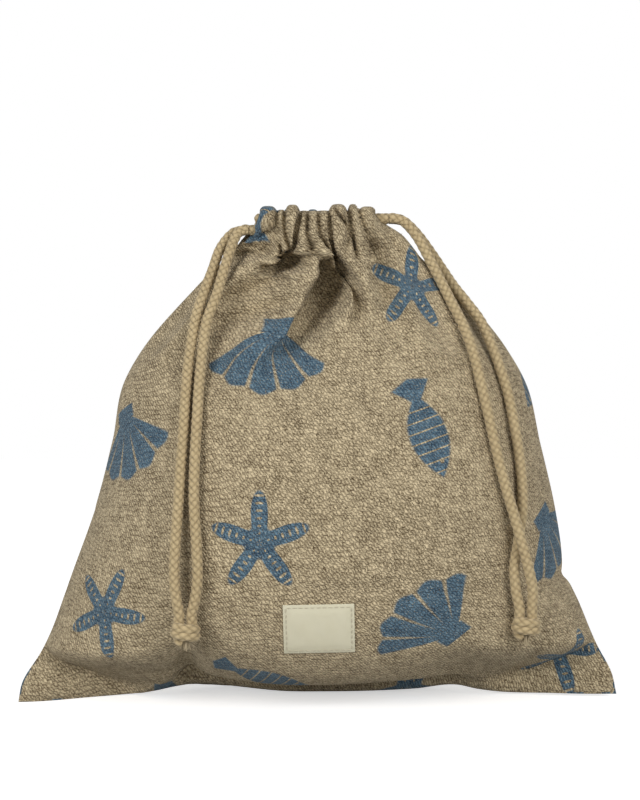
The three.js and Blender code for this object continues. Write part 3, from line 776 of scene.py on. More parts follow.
def standing(panel, side):
    """The panel with its base lifted and its corners leant and bent; behind, only the corners are."""
    place, height = grid_places(panel)
    x = np.clip(panel[..., 0], LIFT_PLACES[0], LIFT_PLACES[-1])
    corner = 1 if side == FRONT else ease(np.abs(x), *CORNER_X)
    seam = bend_through(x, LIFT_PLACES, SEAM_LIFT)
    edge = bend_through(x, LIFT_PLACES, FRONT_LIFT) if side == FRONT else seam * corner
    bends = fold_depth(panel, EAR_BENDS) * corner
    bends = bends * ease(np.minimum(place, 1 - place), 0, UNBENT_EDGE)
    stood = panel.copy()
    stood[..., 1] = side * panel[..., 1] - ear_swing(panel) + bends
    gap = ease(height, 0, BASE_REACH[side])
    stood[..., 2] += (seam + (edge - seam) * gap) * (1 - ease(height, *LIFT_FADE))
    return stood


def start_panel(side):
    """A panel before the simulation: gathered, lightly folded and standing."""
    panel = gathered(taut[side], PLEATS[side])
    place, height = grid_places(panel)
    seam_room = 2 * CLOTH * ease(np.minimum(place, 1 - place), 0, SEAM_EDGE)
    panel[..., 1] = np.maximum(panel[..., 1], CLOTH / 2 + seam_room * ease(height, 0, SEAM_FOOT))
    return pressed(standing(panel, side), side, FOLDS[side], START_SHARE)


front_start, back_start = start_panel(FRONT), start_panel(BACK)
print("front edge of the base stands", round(float(front_start[COLUMNS // 2, 8, 2]), 1), "mm off the table")

# %% [markdown]
# ## Settling the cloth
# The two panels are sewn into one mesh for the simulation: they share their points along the bottom and
# up to the side vents. The belly is held, since it is taut over the filling, and so is the casing, since
# the cord holds it. The rest shape is the flat cut, drawn in towards the top, so the shoulders have more
# cloth than room and settle into folds over a stand-in for the filling. It is done at ten times life
# size, where Blender's cloth is steadier.

# %% Sew the panels for the simulation
SIM_SCALE = 10
SIM_FRAMES = 26
HELD_BELOW, FREE_ABOVE = 112, 165
LEAST_HOLD = 0.01
TOP_FULLNESS, DRAWN_IN = 0.66, (175, 290)
FILLING_UP = (0.3, 0.95)
FILLING_TAPER = (130, 220)
FILLING_WIDTH, TOP_NARROWER, TOP_FLATTER = 0.97, 0.12, 0.5
FILLING_GAP = 3


def face_corners(ids, turned=False):
    """The four corners of each face of a grid of points."""
    corners = np.stack([ids[:-1, :-1], ids[1:, :-1], ids[1:, 1:], ids[:-1, 1:]], axis=-1).reshape(-1, 4)
    return corners[:, ::-1] if turned else corners


front_ids = np.arange(front_start[..., 0].size).reshape(COLUMNS + 1, ROWS + 1)
back_ids = np.full_like(front_ids, -1)
sewn_rows = int(VENT_FROM / PANEL_HEIGHT * ROWS) + 1
back_ids[:, 0] = front_ids[:, 0]
back_ids[[0, -1], :sewn_rows] = front_ids[[0, -1], :sewn_rows]
own = back_ids < 0
back_ids[own] = front_ids.size + np.arange(own.sum())
both = np.concatenate([front_start.reshape(-1, 3), back_start[own]])
both[front_ids[:, 0], 1] = -ear_swing(taut[FRONT])[:, 0]
both[front_ids[[0, -1], :sewn_rows], 1] = -ear_swing(taut[FRONT])[[0, -1], :sewn_rows]
print("sewn panels:", len(both), "points")


# %% Run the cloth
def flat_cut():
    """The rest shape: the flat panel, drawn in towards the top."""
    place, height = grid_places(taut[FRONT])
    wide = PANEL_WIDTH * (1 - (1 - TOP_FULLNESS) * ease(height, *DRAWN_IN))
    return np.stack(np.broadcast_arrays((place - 0.5) * wide, 0.0, height), axis=-1)


def filling():
    """A stand-in for what the bag holds, under the slack cloth."""
    across, up = np.meshgrid(np.linspace(-1, 1, 49), np.linspace(*FILLING_UP, 41), indexing="ij")
    points = []
    for side in (FRONT, BACK):
        core = filled_shape(across, up, side)
        taper = ease(core[..., 2], *FILLING_TAPER)
        core[..., 0] *= FILLING_WIDTH - TOP_NARROWER * taper
        core[..., 1] = side * np.maximum(0, core[..., 1] * (1 - TOP_FLATTER * taper) - FILLING_GAP)
        points.append(core.reshape(-1, 3))
    ids = np.arange(across.size).reshape(across.shape)
    faces = np.concatenate([face_corners(ids), face_corners(ids + ids.size, turned=True)])
    body = mesh_piece("filling", np.concatenate(points) * SIM_SCALE, faces)
    body.modifiers.new("Collision", "COLLISION")
    body.collision.thickness_outer = 0.02
    body.collision.cloth_friction = 10
    return body


def settle(points):
    """Blender's cloth on the sewn panels; gives their settled points in millimetres."""
    faces = np.concatenate([face_corners(front_ids), face_corners(back_ids, turned=True)])
    cloth = mesh_piece("sewn_panels", points * SIM_SCALE, faces)
    cloth.shape_key_add(name="filled")
    cut = cloth.shape_key_add(name="flat cut")
    flat = flat_cut()
    flat = np.concatenate([flat.reshape(-1, 3), flat[own]]) * SIM_SCALE * MM
    cut.data.foreach_set("co", flat.ravel())
    up = np.broadcast_to(grid_places(taut[FRONT])[1], own.shape)
    up = np.concatenate([up.ravel(), up[own]])
    hold = np.maximum(1 - ease(up, HELD_BELOW, FREE_ABOVE), up > PANEL_HEIGHT - CASING_HEIGHT)
    held = cloth.vertex_groups.new(name="held")
    for index in np.flatnonzero(hold > LEAST_HOLD):
        held.add([int(index)], float(hold[index]), "REPLACE")
    modifier = cloth.modifiers.new("Cloth", "CLOTH")
    modifier.settings.rest_shape_key = cut
    modifier.settings.vertex_group_mass = held.name
    stiff = {
        "quality": 5, "mass": 0.2, "air_damping": 5,
        "tension_stiffness": 60, "compression_stiffness": 60, "shear_stiffness": 25, "bending_stiffness": 5,
        "tension_damping": 15, "compression_damping": 15, "shear_damping": 15, "bending_damping": 1,
    }
    for setting, value in stiff.items():
        setattr(modifier.settings, setting, value)
    modifier.settings.effector_weights.gravity = 0.5
    modifier.collision_settings.distance_min = 0.02
    modifier.point_cache.frame_end = SIM_FRAMES
    for number in range(1, SIM_FRAMES + 1):
        bpy.context.scene.frame_set(number)
    settled = cloth.evaluated_get(bpy.context.evaluated_depsgraph_get()).data
    result = np.empty(len(points) * 3, np.float32)
    settled.vertices.foreach_get("co", result)
    bpy.context.scene.frame_set(1)
    bpy.data.objects.remove(cloth)
    return result.reshape(-1, 3).astype(float) / (SIM_SCALE * MM)


stuffing = filling()
before = both
both = settle(both)
bpy.data.objects.remove(stuffing)
print("settled; points moved up to", round(np.linalg.norm(both - before, axis=1).max(), 1), "mm")


# %% Press the finer folds
def finer(panel, axis):
    """The panel with a point added between each two along an axis, on a smooth curve through them."""
    points = np.moveaxis(panel, axis, 0)
    padded = np.concatenate([[2 * points[0] - points[1]], points, [2 * points[-1] - points[-2]]])
    between = (9 * (padded[1:-2] + padded[2:-1]) - padded[:-3] - padded[3:]) / 16
    result = np.empty((2 * len(points) - 1, *points.shape[1:]))
    result[::2], result[1::2] = points, between
    return np.moveaxis(result, 0, axis)


def finished(panel, side):
    """A settled panel on a finer grid, with its folds pressed the rest of the way."""
    panel = finer(finer(panel, 0), 1)
    folded = pressed(panel, side, FOLDS[side], FINAL_SHARE)
    folded = pressed(folded, side, casing_creases(PLEATS[side]), 1)
    return folded + leaning_lips(panel, FOLDS[side])


front_cloth = finished(both[front_ids], FRONT)
back_cloth = finished(both[back_ids], BACK)
print("each panel has", front_cloth.shape[:2], "points")

# %% [markdown]
# ## Where the weave lies
# Most of the gathered cloth is hidden in the pleats, and what shows of it has its weave and its print at
# the same size as on the belly. So the pattern isn't laid over the flat cut, which would squeeze it to a
# quarter round the mouth. The smooth filled shape is unwrapped with as little stretch as Blender can
# find, and scaled so that a millimetre of pattern is a millimetre on the belly.

# %% Unwrap the filled shape
PATTERN = 500.0
PATTERN_MIDDLE = (0.5, 0.2)
BELLY_PATCH = (40, 30)
PATTERN_CHECKS = {"belly": (48, 36), "shoulder": (48, 70), "rim": (48, 95), "corner": (4, 12)}


def corner_ids(piece):
    """The point that each face corner of a piece belongs to."""
    ids = np.empty(len(piece.data.loops), np.int32)
    piece.data.loops.foreach_get("vertex_index", ids)
    return ids


def flat_places(side):
    """Where each point of a panel lies on the cloth that shows, in millimetres."""
    points = taut[side].reshape(-1, 3)
    ids = np.arange(len(points)).reshape(COLUMNS + 1, ROWS + 1)
    shape = mesh_piece("filled_shape", points, face_corners(ids))
    edit_all(bpy.ops.uv.unwrap, method="MINIMUM_STRETCH", margin=0)
    corners = corner_ids(shape)
    spots = np.empty(2 * len(corners), np.float32)
    shape.data.uv_layers.active.data.foreach_get("uv", spots)
    bpy.data.objects.remove(shape)
    unwrapped = np.ones((len(points), 3))
    unwrapped[corners, :2] = spots.reshape(-1, 2)
    belly = (np.abs(points[:, [0, 2]] - (0, BELLY_Z)) < BELLY_PATCH).all(axis=1)
    to_size = np.linalg.lstsq(unwrapped[belly], points[belly][:, [0, 2]], rcond=None)[0]
    return (unwrapped @ to_size).reshape(*ids.shape, 2)


def lay_pattern(piece, places):
    """Writes places on the cloth into a panel's UV map."""
    spots = (places / PATTERN + PATTERN_MIDDLE).swapaxes(0, 1).reshape(-1, 2)
    spots = spots[corner_ids(piece)].astype(np.float32)
    piece.data.uv_layers.active.data.foreach_set("uv", spots.ravel())


cloth_places = {}
for side in (FRONT, BACK):
    places = flat_places(side)
    cloth_places[side] = finer(finer(places, 0), 1)
    for name, (column, row) in PATTERN_CHECKS.items():
        laid = np.linalg.norm(places[column + 1, row] - places[column, row])
        true = np.linalg.norm(taut[side][column + 1, row] - taut[side][column, row])
        print("pattern scale at the", name, round(laid / true, 2))

# %% [markdown]
# ## From points to panels
# Each settled grid becomes one piece of cloth. At the rim the cloth turns over the cords and goes down
# inside to the casing's stitching, so the grid gets a few more rows there. Solidify gives it the
# thickness of canvas, inwards, so the outside stays where it settled.

# %% Fold the rim over and thicken
RIM_LOW = 253.3
RIM_FROM = 284
RIM_DRAW, MOUTH_GAP = 0.3, 0.6
TURN_RISE = 2.2
TURN_ROWS = 9
INNER_ROWS = 12
DENT_STEP, DENT_WIDTH, DENT_DEPTH, DENT_CLEAR = 3, 4.5, 6, 0.15


def cord_dents(panel):
    """The front cloth gives way a little under the tails."""
    dented = panel.copy()
    for line in tail_lines.values():
        for x, y, z in line[:: round(DENT_STEP / RING_STEP)]:
            away = np.hypot(panel[..., 0] - x, panel[..., 2] - z)
            need = y + CORD / 2 + DENT_CLEAR - panel[..., 1]
            push = np.clip(need, 0, DENT_DEPTH) * np.exp(-((away / DENT_WIDTH) ** 2))
            dented[..., 1] = np.maximum(dented[..., 1], panel[..., 1] + push)
    return dented


def rim_rows(outer, top, side):
    """The rows that turn over the rim and hang inside as the casing's inner layer."""
    x, outer_y = outer[:, 0], outer[:, 1]
    inner_y = casing_middle(x) - INNER_CLEAR - RIM_DRAW * (top - RIM_LOW)
    inner_y = side * np.maximum(inner_y, MOUTH_GAP)
    middle, half = (outer_y + inner_y) / 2, (outer_y - inner_y) / 2
    rows = []
    for angle in np.linspace(0, math.pi, TURN_ROWS + 2)[1:-1]:
        rows.append((x, middle + half * math.cos(angle), top - TURN_RISE * (1 - math.sin(angle))))
    for fall in np.linspace(0, CASING_HEIGHT - 1, INNER_ROWS):
        rows.append((x, inner_y, top - TURN_RISE - fall))
    return np.array(rows).transpose(2, 0, 1)


def canvas_panel(name, panel, side):
    """A panel with its rim and its pattern, as thick as canvas."""
    panel = panel.copy()
    top = RIM_LOW + pleat_lobes(panel[..., 0], np.full(panel.shape[:2], BAG_HEIGHT), PLEATS[side])[1]
    panel[..., 2] += (top - TURN_RISE - BAG_HEIGHT) * ease(grid_places(panel)[1], RIM_FROM, PANEL_HEIGHT)
    rows = np.concatenate([panel, rim_rows(panel[:, -1], top[:, -1], side)], axis=1)
    beyond = np.arange(1, TURN_ROWS + INNER_ROWS + 1)[None, :, None] * (0, PANEL_HEIGHT / (2 * ROWS))
    spots = np.concatenate([cloth_places[side], cloth_places[side][:, -1:] + beyond], axis=1)
    if side == BACK:
        rows, spots = rows[::-1], spots[::-1] * (-1, 1)
    piece = grid_piece(name, rows)
    lay_pattern(piece, spots)
    apply_modifier(piece, "SOLIDIFY", thickness=CLOTH * MM, offset=-1)
    return piece


front_panel = canvas_panel("front_canvas", cord_dents(front_cloth), FRONT)
back_panel = canvas_panel("back_canvas", back_cloth, BACK)
for panel in (front_panel, back_panel):
    print(panel.name, len(panel.data.polygons), "faces")

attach(front_panel, "bag")
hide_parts("front_panel", "front_casing")
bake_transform(back_panel)
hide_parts("back_panel", "back_casing")

# %% [markdown]
# ## Seams inside
# Where the panels are sewn together their edges are turned to the inside, so each seam leaves a narrow
# double strip there. It shows only when one looks into the open mouth. A strip follows the seam's own
# points and is thickened like the panels.

# %% Sew the seam strips
SEAM_WIDTH = 8.0
SEAM_START = 1.6
SEAM_LAYERS = 1.5
SEAM_WAVE, WAVE_STEP = 0.25, 0.9


def seam_strip(name, edge, inward):
    """A double strip of cloth along a seam, reaching inwards."""
    reach = np.linspace(SEAM_START, SEAM_WIDTH, 6)
    points = edge[None, :, :] + reach[:, None, None] * np.asarray(inward)
    points[-1, :, 1] += SEAM_WAVE * np.sin(np.arange(len(edge)) * WAVE_STEP)
    strip = grid_piece(name, points)
    apply_modifier(strip, "SOLIDIFY", thickness=SEAM_LAYERS * CLOTH * MM, offset=0)
    return strip


side_rows = slice(8, 2 * sewn_rows - 4)
bottom_columns = slice(8, 2 * COLUMNS - 7)
seams = {
    "left_side_seam": seam_strip("left_seam_strip", front_cloth[0, side_rows], (1, 0, 0)),
    "right_side_seam": seam_strip("right_seam_strip", front_cloth[-1, side_rows], (-1, 0, 0)),
    "bottom_seam": seam_strip("bottom_seam_strip", front_cloth[bottom_columns, 0], (0, 0, 1)),
}
for node, strip in seams.items():
    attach(strip, "bag")
    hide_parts(node)
print("seam strips:", [strip.name for strip in seams.values()])

# %% [markdown]
# ## The label
# A small cream ribbon label is sewn on the front, low down. It lies on the cloth, so its grid is cast onto
# the finished panel from the front, lifted by its own thickness and pressed down along the edges, where
# the stitches hold it.

# %% Cast the label onto the cloth
LABEL_SIZE = (35.0, 25.0)
LABEL_CENTRE = (0.0, 46.6)
LABEL_TILT = math.radians(1.2)
LABEL_THICKNESS = 0.55
LABEL_GRID = (43, 31)
LABEL_EDGE, LABEL_BEVEL = 5, 0.18
LABEL_CLEAR, LABEL_PUFF, LABEL_RIPPLE = 0.12, 0.45, 0.12
IN_FRONT = -200

bpy.context.view_layer.update()
front_surface = BVHTree.FromObject(front_panel, bpy.context.evaluated_depsgraph_get())


def on_front(x, z, lift):
    """The point of the front panel straight behind (x, z), lifted off it, in millimetres."""
    found, normal, _, _ = front_surface.ray_cast(Vector((x, IN_FRONT, z)) * MM, Vector((0, 1, 0)))
    return np.array(found / MM + normal * lift)


def label_point(across, up, lift):
    """A point of the label, from its own middle, on the cloth."""
    x = LABEL_CENTRE[0] + across * math.cos(LABEL_TILT) - up * math.sin(LABEL_TILT)
    z = LABEL_CENTRE[1] + across * math.sin(LABEL_TILT) + up * math.cos(LABEL_TILT)
    return on_front(x, z, lift)


def label_lift(across, up):
    """The ribbon stands off the cloth a little, less at its sewn edges."""
    inset = min(LABEL_SIZE[0] / 2 - abs(across), LABEL_SIZE[1] / 2 - abs(up))
    ripple = LABEL_RIPPLE * math.sin(across * 0.5 + 1) * math.sin(up * 0.35)
    return LABEL_THICKNESS + LABEL_CLEAR + (LABEL_PUFF + ripple) * float(ease(inset, 0, LABEL_EDGE))


label_points = np.array([
    [label_point(x, z, label_lift(x, z)) for z in np.linspace(-0.5, 0.5, LABEL_GRID[1]) * LABEL_SIZE[1]]
    for x in np.linspace(-0.5, 0.5, LABEL_GRID[0]) * LABEL_SIZE[0]
])
label = grid_piece("ribbon_label", label_points)
apply_modifier(label, "SOLIDIFY", thickness=LABEL_THICKNESS * MM, offset=-1)
apply_modifier(label, "BEVEL", width=LABEL_BEVEL * MM, segments=2, limit_method="ANGLE")
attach(label, "bag")
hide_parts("label")
print("label:", len(label.data.polygons), "faces")

# %% [markdown]
# ## Stitches
# A row of stitches is many short pieces of thread, each rising out of the cloth and going back in. One
# low-poly stitch, thick in the middle and thin at its ends, is repeated along a line of points, so a row
# of a hundred stays light.

# %% Sew the stitches
STITCH_SIDES = 6
STITCH_END = 0.45
STITCH_INSET = 1.5
STITCH_LENGTH, STITCH_GAP = 2.1, 0.7
STITCH_CLEAR = 0.05
LABEL_THREAD, LABEL_BOW = 0.42, 0.22


def stitch_row(name, pairs, bow, thickness):
    """A stitch between each pair of points, bowed towards y."""
    share = np.linspace(0, 1, 5)[:, None]
    arch = np.sin(math.pi * share)
    lines = [start + share * (end - start) + arch * (0, bow, 0) for start, end in pairs]
    return thin_tubes(name, lines, thickness * (STITCH_END + (1 - STITCH_END) * arch), STITCH_SIDES)


def label_seam():
    """Where the label's stitches start and end, going round it."""
    half_x, half_z = LABEL_SIZE[0] / 2 - STITCH_INSET, LABEL_SIZE[1] / 2 - STITCH_INSET
    corners = np.array([(-half_x, -half_z), (half_x, -half_z), (half_x, half_z), (-half_x, half_z)])
    pairs = []
    for a, b in zip(corners, np.roll(corners, -1, axis=0)):
        side = np.linalg.norm(b - a)
        count = round(side / (STITCH_LENGTH + STITCH_GAP))
        for i in range(count):
            middle = a + (b - a) * (i + 0.5) / count
            half = (b - a) / side * STITCH_LENGTH / 2
            pairs.append((middle - half, middle + half))
    return pairs


def on_label(point):
    return label_point(*point, label_lift(*point) + STITCH_CLEAR)


label_pairs = [(on_label(a), on_label(b)) for a, b in label_seam()]
label_thread = stitch_row("label_thread", label_pairs, -LABEL_BOW, LABEL_THREAD)
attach(label_thread, "bag")
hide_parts("label_stitching")
print("label stitches:", len(label_pairs))

# %% Stitch the casings down
CASING_SEAM_ROW = PANEL_HEIGHT - CASING_HEIGHT
CASING_THREAD, CASING_BOW = 0.4, 0.2
CASING_CLEAR = 0.25
SEAM_STITCHES = 96
SEAM_GAP = 0.12


def casing_seam(name, panel, side):
    """A row of stitches that follows the pleats along the foot of the casing."""
    columns, rows = panel.shape[:2]
    line = panel[:, round(CASING_SEAM_ROW / PANEL_HEIGHT * (rows - 1))] + (0, side * CASING_CLEAR, 0)
    at = np.linspace(0, columns - 1, SEAM_STITCHES + 1)
    middle = np.stack([np.interp(at, np.arange(columns), line[:, k]) for k in range(3)], axis=1)
    gap = SEAM_GAP * np.diff(middle, axis=0)
    pairs = zip(middle[:-1] + gap, middle[1:] - gap)
    return stitch_row(name, pairs, side * CASING_BOW, CASING_THREAD)


front_seam = casing_seam("front_casing_thread", front_cloth, FRONT)
back_seam = casing_seam("back_casing_thread", back_cloth, BACK)
for seam, body, node in (
    (front_seam, "bag", "front_casing_stitching"),
    (back_seam, "mouth_back", "back_casing_stitching"),
):
    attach(seam, body)
    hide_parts(node)
print("casing stitches:", 2 * SEAM_STITCHES)

# %% [markdown]
# ## Building materials from nodes
# Every finish here is worked out by nodes. Most of it is arithmetic on a position, so a small class holds
# what a node gives out, and adding or multiplying it adds the Math node that does so. The recipes below
# then read like formulas.

# %% Node helpers
CLOTH_SHINE = 0.2


class Output:
    """What a node gives out. Reckoning with it adds the nodes that work out the result."""

    def __init__(self, tree, socket):
        self.tree = tree
        self.socket = socket

    def __add__(self, other):
        return calc("ADD", self, other)

    def __sub__(self, other):
        return calc("SUBTRACT", self, other)

    def __rsub__(self, other):
        return calc("SUBTRACT", other, self)

    def __mul__(self, other):
        return calc("MULTIPLY", self, other)

    def __truediv__(self, other):
        return calc("DIVIDE", self, other)

    def __rtruediv__(self, other):
        return calc("DIVIDE", other, self)

    def __mod__(self, other):
        return calc("FLOORED_MODULO", self, other)

    def __pow__(self, other):
        return calc("POWER", self, other)

    def __abs__(self):
        return calc("ABSOLUTE", self)

    def vector(self, operation, other):
        return add_node(self.tree, "VectorMath", {0: self, 1: other}, operation=operation)

    def split(self):
        """The first two coordinates."""
        first = add_node(self.tree, "SeparateXYZ", {0: self})
        return first, Output(self.tree, first.socket.node.outputs[1])

    def ramp(self, low, high):
        """0 below low and 1 above high."""
        return add_node(self.tree, "MapRange", {"Value": self, "From Min": low, "From Max": high}, "Result")

    def noise(self, scale, detail=2.0, rough=0.5):
        inputs = {"Vector": self, "Scale": scale, "Detail": detail, "Roughness": rough}
        return add_node(self.tree, "TexNoise", inputs, "Fac")


# %% Functions that add nodes
def feed(socket, value):
    """Wires an output to a socket, or sets the socket's own value."""
    if isinstance(value, Output):
        value.tree.links.new(value.socket, socket)
    else:
        socket.default_value = value


def add_node(tree, kind, inputs=(), result=0, **settings):
    """Adds a node, sets it up, feeds its inputs and gives back one of its outputs."""
    node = tree.nodes.new("ShaderNode" + kind)
    for setting, value in settings.items():
        setattr(node, setting, value)
    for key, value in dict(inputs).items():
        feed(node.inputs[key], value)
    return Output(tree, node.outputs[result])


def calc(operation, *values, clamp=False):
    """One Math node, with outputs or plain numbers as its values."""
    tree = next(value.tree for value in values if isinstance(value, Output))
    return add_node(tree, "Math", enumerate(values), operation=operation, use_clamp=clamp)


def blend_colour(share, first, second):
    inputs = {"Factor": share, "A": first, "B": second}
    return add_node(share.tree, "Mix", inputs, "Result", data_type="RGBA")


def dice_roll(first, second, result):
    """A random value or colour for each pair of whole numbers."""
    pair = add_node(first.tree, "CombineXYZ", {0: first, 1: second})
    return add_node(first.tree, "TexWhiteNoise", {"Vector": pair}, result, noise_dimensions="2D")


def wave(value, period):
    """A wave from 0 to 1 with that period."""
    return calc("COSINE", value * (2 * math.pi / period)) * 0.5 + 0.5


def cloth_position(tree, size):
    """The place on a piece of cloth in millimetres, from its UV map."""
    return add_node(tree, "UVMap", result="UV").vector("MULTIPLY", (*size, 0))


def new_material(name, roughness):
    made = bpy.data.materials.new(name)
    made.use_nodes = True
    shader = made.node_tree.nodes["Principled BSDF"]
    shader.inputs["Roughness"].default_value = roughness
    shader.inputs["Specular IOR Level"].default_value = CLOTH_SHINE
    return made, made.node_tree, shader


def add_bump(shader, heights, distance):
    bump = add_node(heights.tree, "Bump", {"Height": heights, "Distance": distance}, "Normal")
    feed(shader.inputs["Normal"], bump)


# %% [markdown]
# ## The print
# The cloth is printed in one blue with a sea theme. Three common shapes, a starfish, a scallop and a plain
# fish, are each a formula in a small square: a point is inside when it lies nearer the middle than the
# outline does in that direction. The panel is divided into squares, every other column is dropped by
# half, and each square picks its own turn and shift from a white noise of its number. The numbers in the
# formulas are millimetres from the middle of the square.

# %% Draw the motifs with formulas
EDGE_SOFT = 0.7


def inside(distance):
    """1 where the distance to the outline is negative, with a soft edge."""
    return distance.ramp(EDGE_SOFT, -EDGE_SOFT)


def polar(x, y):
    return calc("SQRT", x * x + y * y), calc("ARCTAN2", y, x)


def starfish(x, y):
    """Five arms, with a row of pale beads along each."""
    radius, angle = polar(x, y)
    arms = calc("COSINE", angle * 5)
    reach = (arms * 0.5 + 0.5) ** 1.6 * 17.5 + 8
    beads = calc("SINE", radius * 1.7) * arms.ramp(0.72, 0.98)
    return inside(radius - reach) * beads.ramp(0.75, 0.35)


def scallop(x, y):
    """A fan with pale lines between its ribs, and a small hinge."""
    radius, angle = polar(x + 17, y)
    ribs = calc("COSINE", angle * 14)
    fan = calc("MINIMUM", inside(radius - (ribs * 1.3 + 38)), abs(angle).ramp(1.02, 0.98))
    lines = (ribs + 2.5 / radius).ramp(-0.93, -0.75)
    hinge = inside(calc("MAXIMUM", abs(x + 16) * 2.4, abs(y)) - 9)
    return calc("MAXIMUM", fan * lines, hinge)


def fish(x, y):
    """A striped body with an eye, and a tail with a notch."""
    side = abs(y)
    along = (x - 4) / 22
    body = inside(side - (along * along * -10.5 + 10.5))
    stripes = calc("SINE", x * 1.15 + 0.6).ramp(0.97, 0.85)
    eye = polar(x - 18, y - 2)[0].ramp(0.9, 1.5)
    back = -13.5 - x
    tail = calc("MINIMUM", inside(side - (back * 0.85 + 1.5)), (back + side * 0.35).ramp(14.6, 13.4))
    return calc("MAXIMUM", body * stripes * eye, tail * x.ramp(-13, -14))


# %% Scatter them over the cloth
MOTIFS = (starfish, scallop, fish)
MOTIF_CELL = (84.0, 92.0)
MOTIF_NUDGE = 10.0


def scattered_motifs(position, shift):
    """1 where the print is blue; shift moves the layout, so the two panels differ."""
    u, v = position.vector("ADD", (*shift, 0)).split()
    column_at = u / MOTIF_CELL[0]
    column = calc("FLOOR", column_at)
    row_at = v / MOTIF_CELL[1] + column % 2 * 0.5
    row = calc("FLOOR", row_at)
    turn, nudge = dice_roll(column, row, "Color").split()
    x = (calc("FRACT", column_at) - 0.5) * MOTIF_CELL[0]
    y = (calc("FRACT", row_at) - 0.5) * MOTIF_CELL[1]
    y = y + (nudge * (2 * MOTIF_NUDGE) - MOTIF_NUDGE)
    angle = turn * (2 * math.pi)
    cosine, sine = calc("COSINE", angle), calc("SINE", angle)
    turned = (x * cosine + y * sine, y * cosine - x * sine)
    kind = (column * 2 + row) % len(MOTIFS)
    mask = 0
    for number, motif in enumerate(MOTIFS):
        chosen = calc("COMPARE", kind, number, 0.4)
        mask = calc("MAXIMUM", mask, chosen * motif(*turned))
    return mask


# %% [markdown]
# ## Printed canvas
# The canvas is a coarse twill in natural linen colours. Its raised threads are short strokes in steep
# slanting rows: each row is a band over the panel's own UV map, broken into strokes that start a little
# higher than in the row beside it, so they follow the cloth round every fold. Each stroke has its own
# brightness, the yarn is thick in one place and thin in the next, and dark flecks are spun into it.

# %% Weave the canvas
TWILL_ACROSS, TWILL_UP = 1.77, 2.6
STROKE_LENGTH = 2.6
WANDER, WOBBLE = 2.6, 1.9
CANVAS_DARK = (0.088, 0.058, 0.026, 1)
CANVAS_LIGHT = (0.69, 0.568, 0.365, 1)
PRINT_DARK = (0.012, 0.032, 0.06, 1)
PRINT_LIGHT = (0.14, 0.23, 0.295, 1)
PRINT_SHIFT = {FRONT: (73, 86), BACK: (371, 96)}


def twill(position):
    """The height of the weave from 0 to 1, and a brightness for each of its strokes."""
    u, v = position.split()
    u = u + position.noise(0.22) * WANDER + position.noise(0.7, 1) * WOBBLE
    slant = (v * (TWILL_ACROSS / TWILL_UP) + u) / TWILL_ACROSS
    row = calc("FLOOR", slant)
    along = dice_roll(row, 0.5, "Value") + v / STROKE_LENGTH
    bright = dice_roll(row, calc("FLOOR", along), "Value")
    across = abs(calc("FRACT", slant) - 0.5)
    ends = abs(calc("FRACT", along) - 0.5)
    return across.ramp(0.5, 0.12) * ends.ramp(0.5, 0.3), bright


def canvas_material(name, shift):
    made, tree, shader = new_material(name, 0.92)
    position = cloth_position(tree, (PATTERN, PATTERN))
    weave, bright = twill(position)
    warp = position.vector("MULTIPLY", (1.0, 0.07, 0)).noise(0.9, 3)
    weft = position.vector("MULTIPLY", (0.06, 1.0, 0)).noise(0.8, 3)
    patches = position.noise(0.085, 3, 0.6)
    grit = position.noise(1.7, 1)
    flecks = position.noise(0.5).ramp(0.62, 0.76)
    tone = weave * 0.5 + 0.26
    for uneven, amount in ((bright, 0.3), (grit, 1.3), (warp, 0.55), (weft, 0.6), (patches, 0.4)):
        tone = (uneven - 0.5) * amount + tone
    tone = calc("SUBTRACT", tone, flecks * 0.4, clamp=True)
    cloth = blend_colour(tone, CANVAS_DARK, CANVAS_LIGHT)
    ink = blend_colour(tone, PRINT_DARK, PRINT_LIGHT)
    worn = position.noise(1.3).ramp(0.22, 0.42)
    covered = scattered_motifs(position, shift) * worn
    feed(shader.inputs["Base Color"], blend_colour(covered, cloth, ink))
    shader.inputs["Sheen Weight"].default_value = 0.08
    add_bump(shader, warp * 0.5 + weave, 0.45 * MM)
    return made


front_canvas = canvas_material("printed_canvas_front", PRINT_SHIFT[FRONT])
back_canvas = canvas_material("printed_canvas_back", PRINT_SHIFT[BACK])
front_panel.data.materials.append(front_canvas)
for piece in (back_panel, *seams.values()):
    piece.data.materials.append(back_canvas)
print("canvas nodes:", len(front_canvas.node_tree.nodes))

# %% [markdown]
# ## Cotton cord
# The cord is undyed cotton, warmer and paler than the canvas. Each tube carries two values on its points:
# how high the braid stands, and the place across the upper yarn. The first paints shade into the hollows
# between yarns, the second draws fine fibres along them, and a slow noise keeps the colour from being even.

# %% Colour the cords
CORD_DARK_AND_HOLLOW_SHADE = (0.27, 0.19, 0.09, 1)
CORD_LIGHT = (0.6, 0.475, 0.275, 1)
FIBRE_PERIOD = 0.21
LOOSE_COTTON = (0.56, 0.46, 0.3)
CREAM_THREAD = (0.62, 0.56, 0.42)
NATURAL_THREAD = (0.33, 0.26, 0.165)
STREAK_DARK = 0.62


def cord_material():
    made, tree, shader = new_material("braided_cotton", 0.88)
    relief = add_node(tree, "Attribute", result="Fac", attribute_name="relief")
    fibre = add_node(tree, "Attribute", result="Fac", attribute_name="fibre")
    place_at = add_node(tree, "TexCoord", result="Object")
    fuzz = place_at.noise(900)
    slow = place_at.noise(60)
    strands = wave(fibre, FIBRE_PERIOD)
    # Painted shade: the low places of the braid are darkened by their relief towards the darker cord colour.
    tone = relief * 0.75 - 0.05
    for part, amount in ((strands, 0.12), (fuzz, 0.3), (slow, 0.35)):
        tone = (part - 0.3) * amount + tone
    tone = calc("ADD", tone, 0.0, clamp=True)
    feed(shader.inputs["Base Color"], blend_colour(tone, CORD_DARK_AND_HOLLOW_SHADE, CORD_LIGHT))
    shader.inputs["Sheen Weight"].default_value = 0.15
    add_bump(shader, fuzz * 0.8 + strands, 0.12 * MM)
    return made


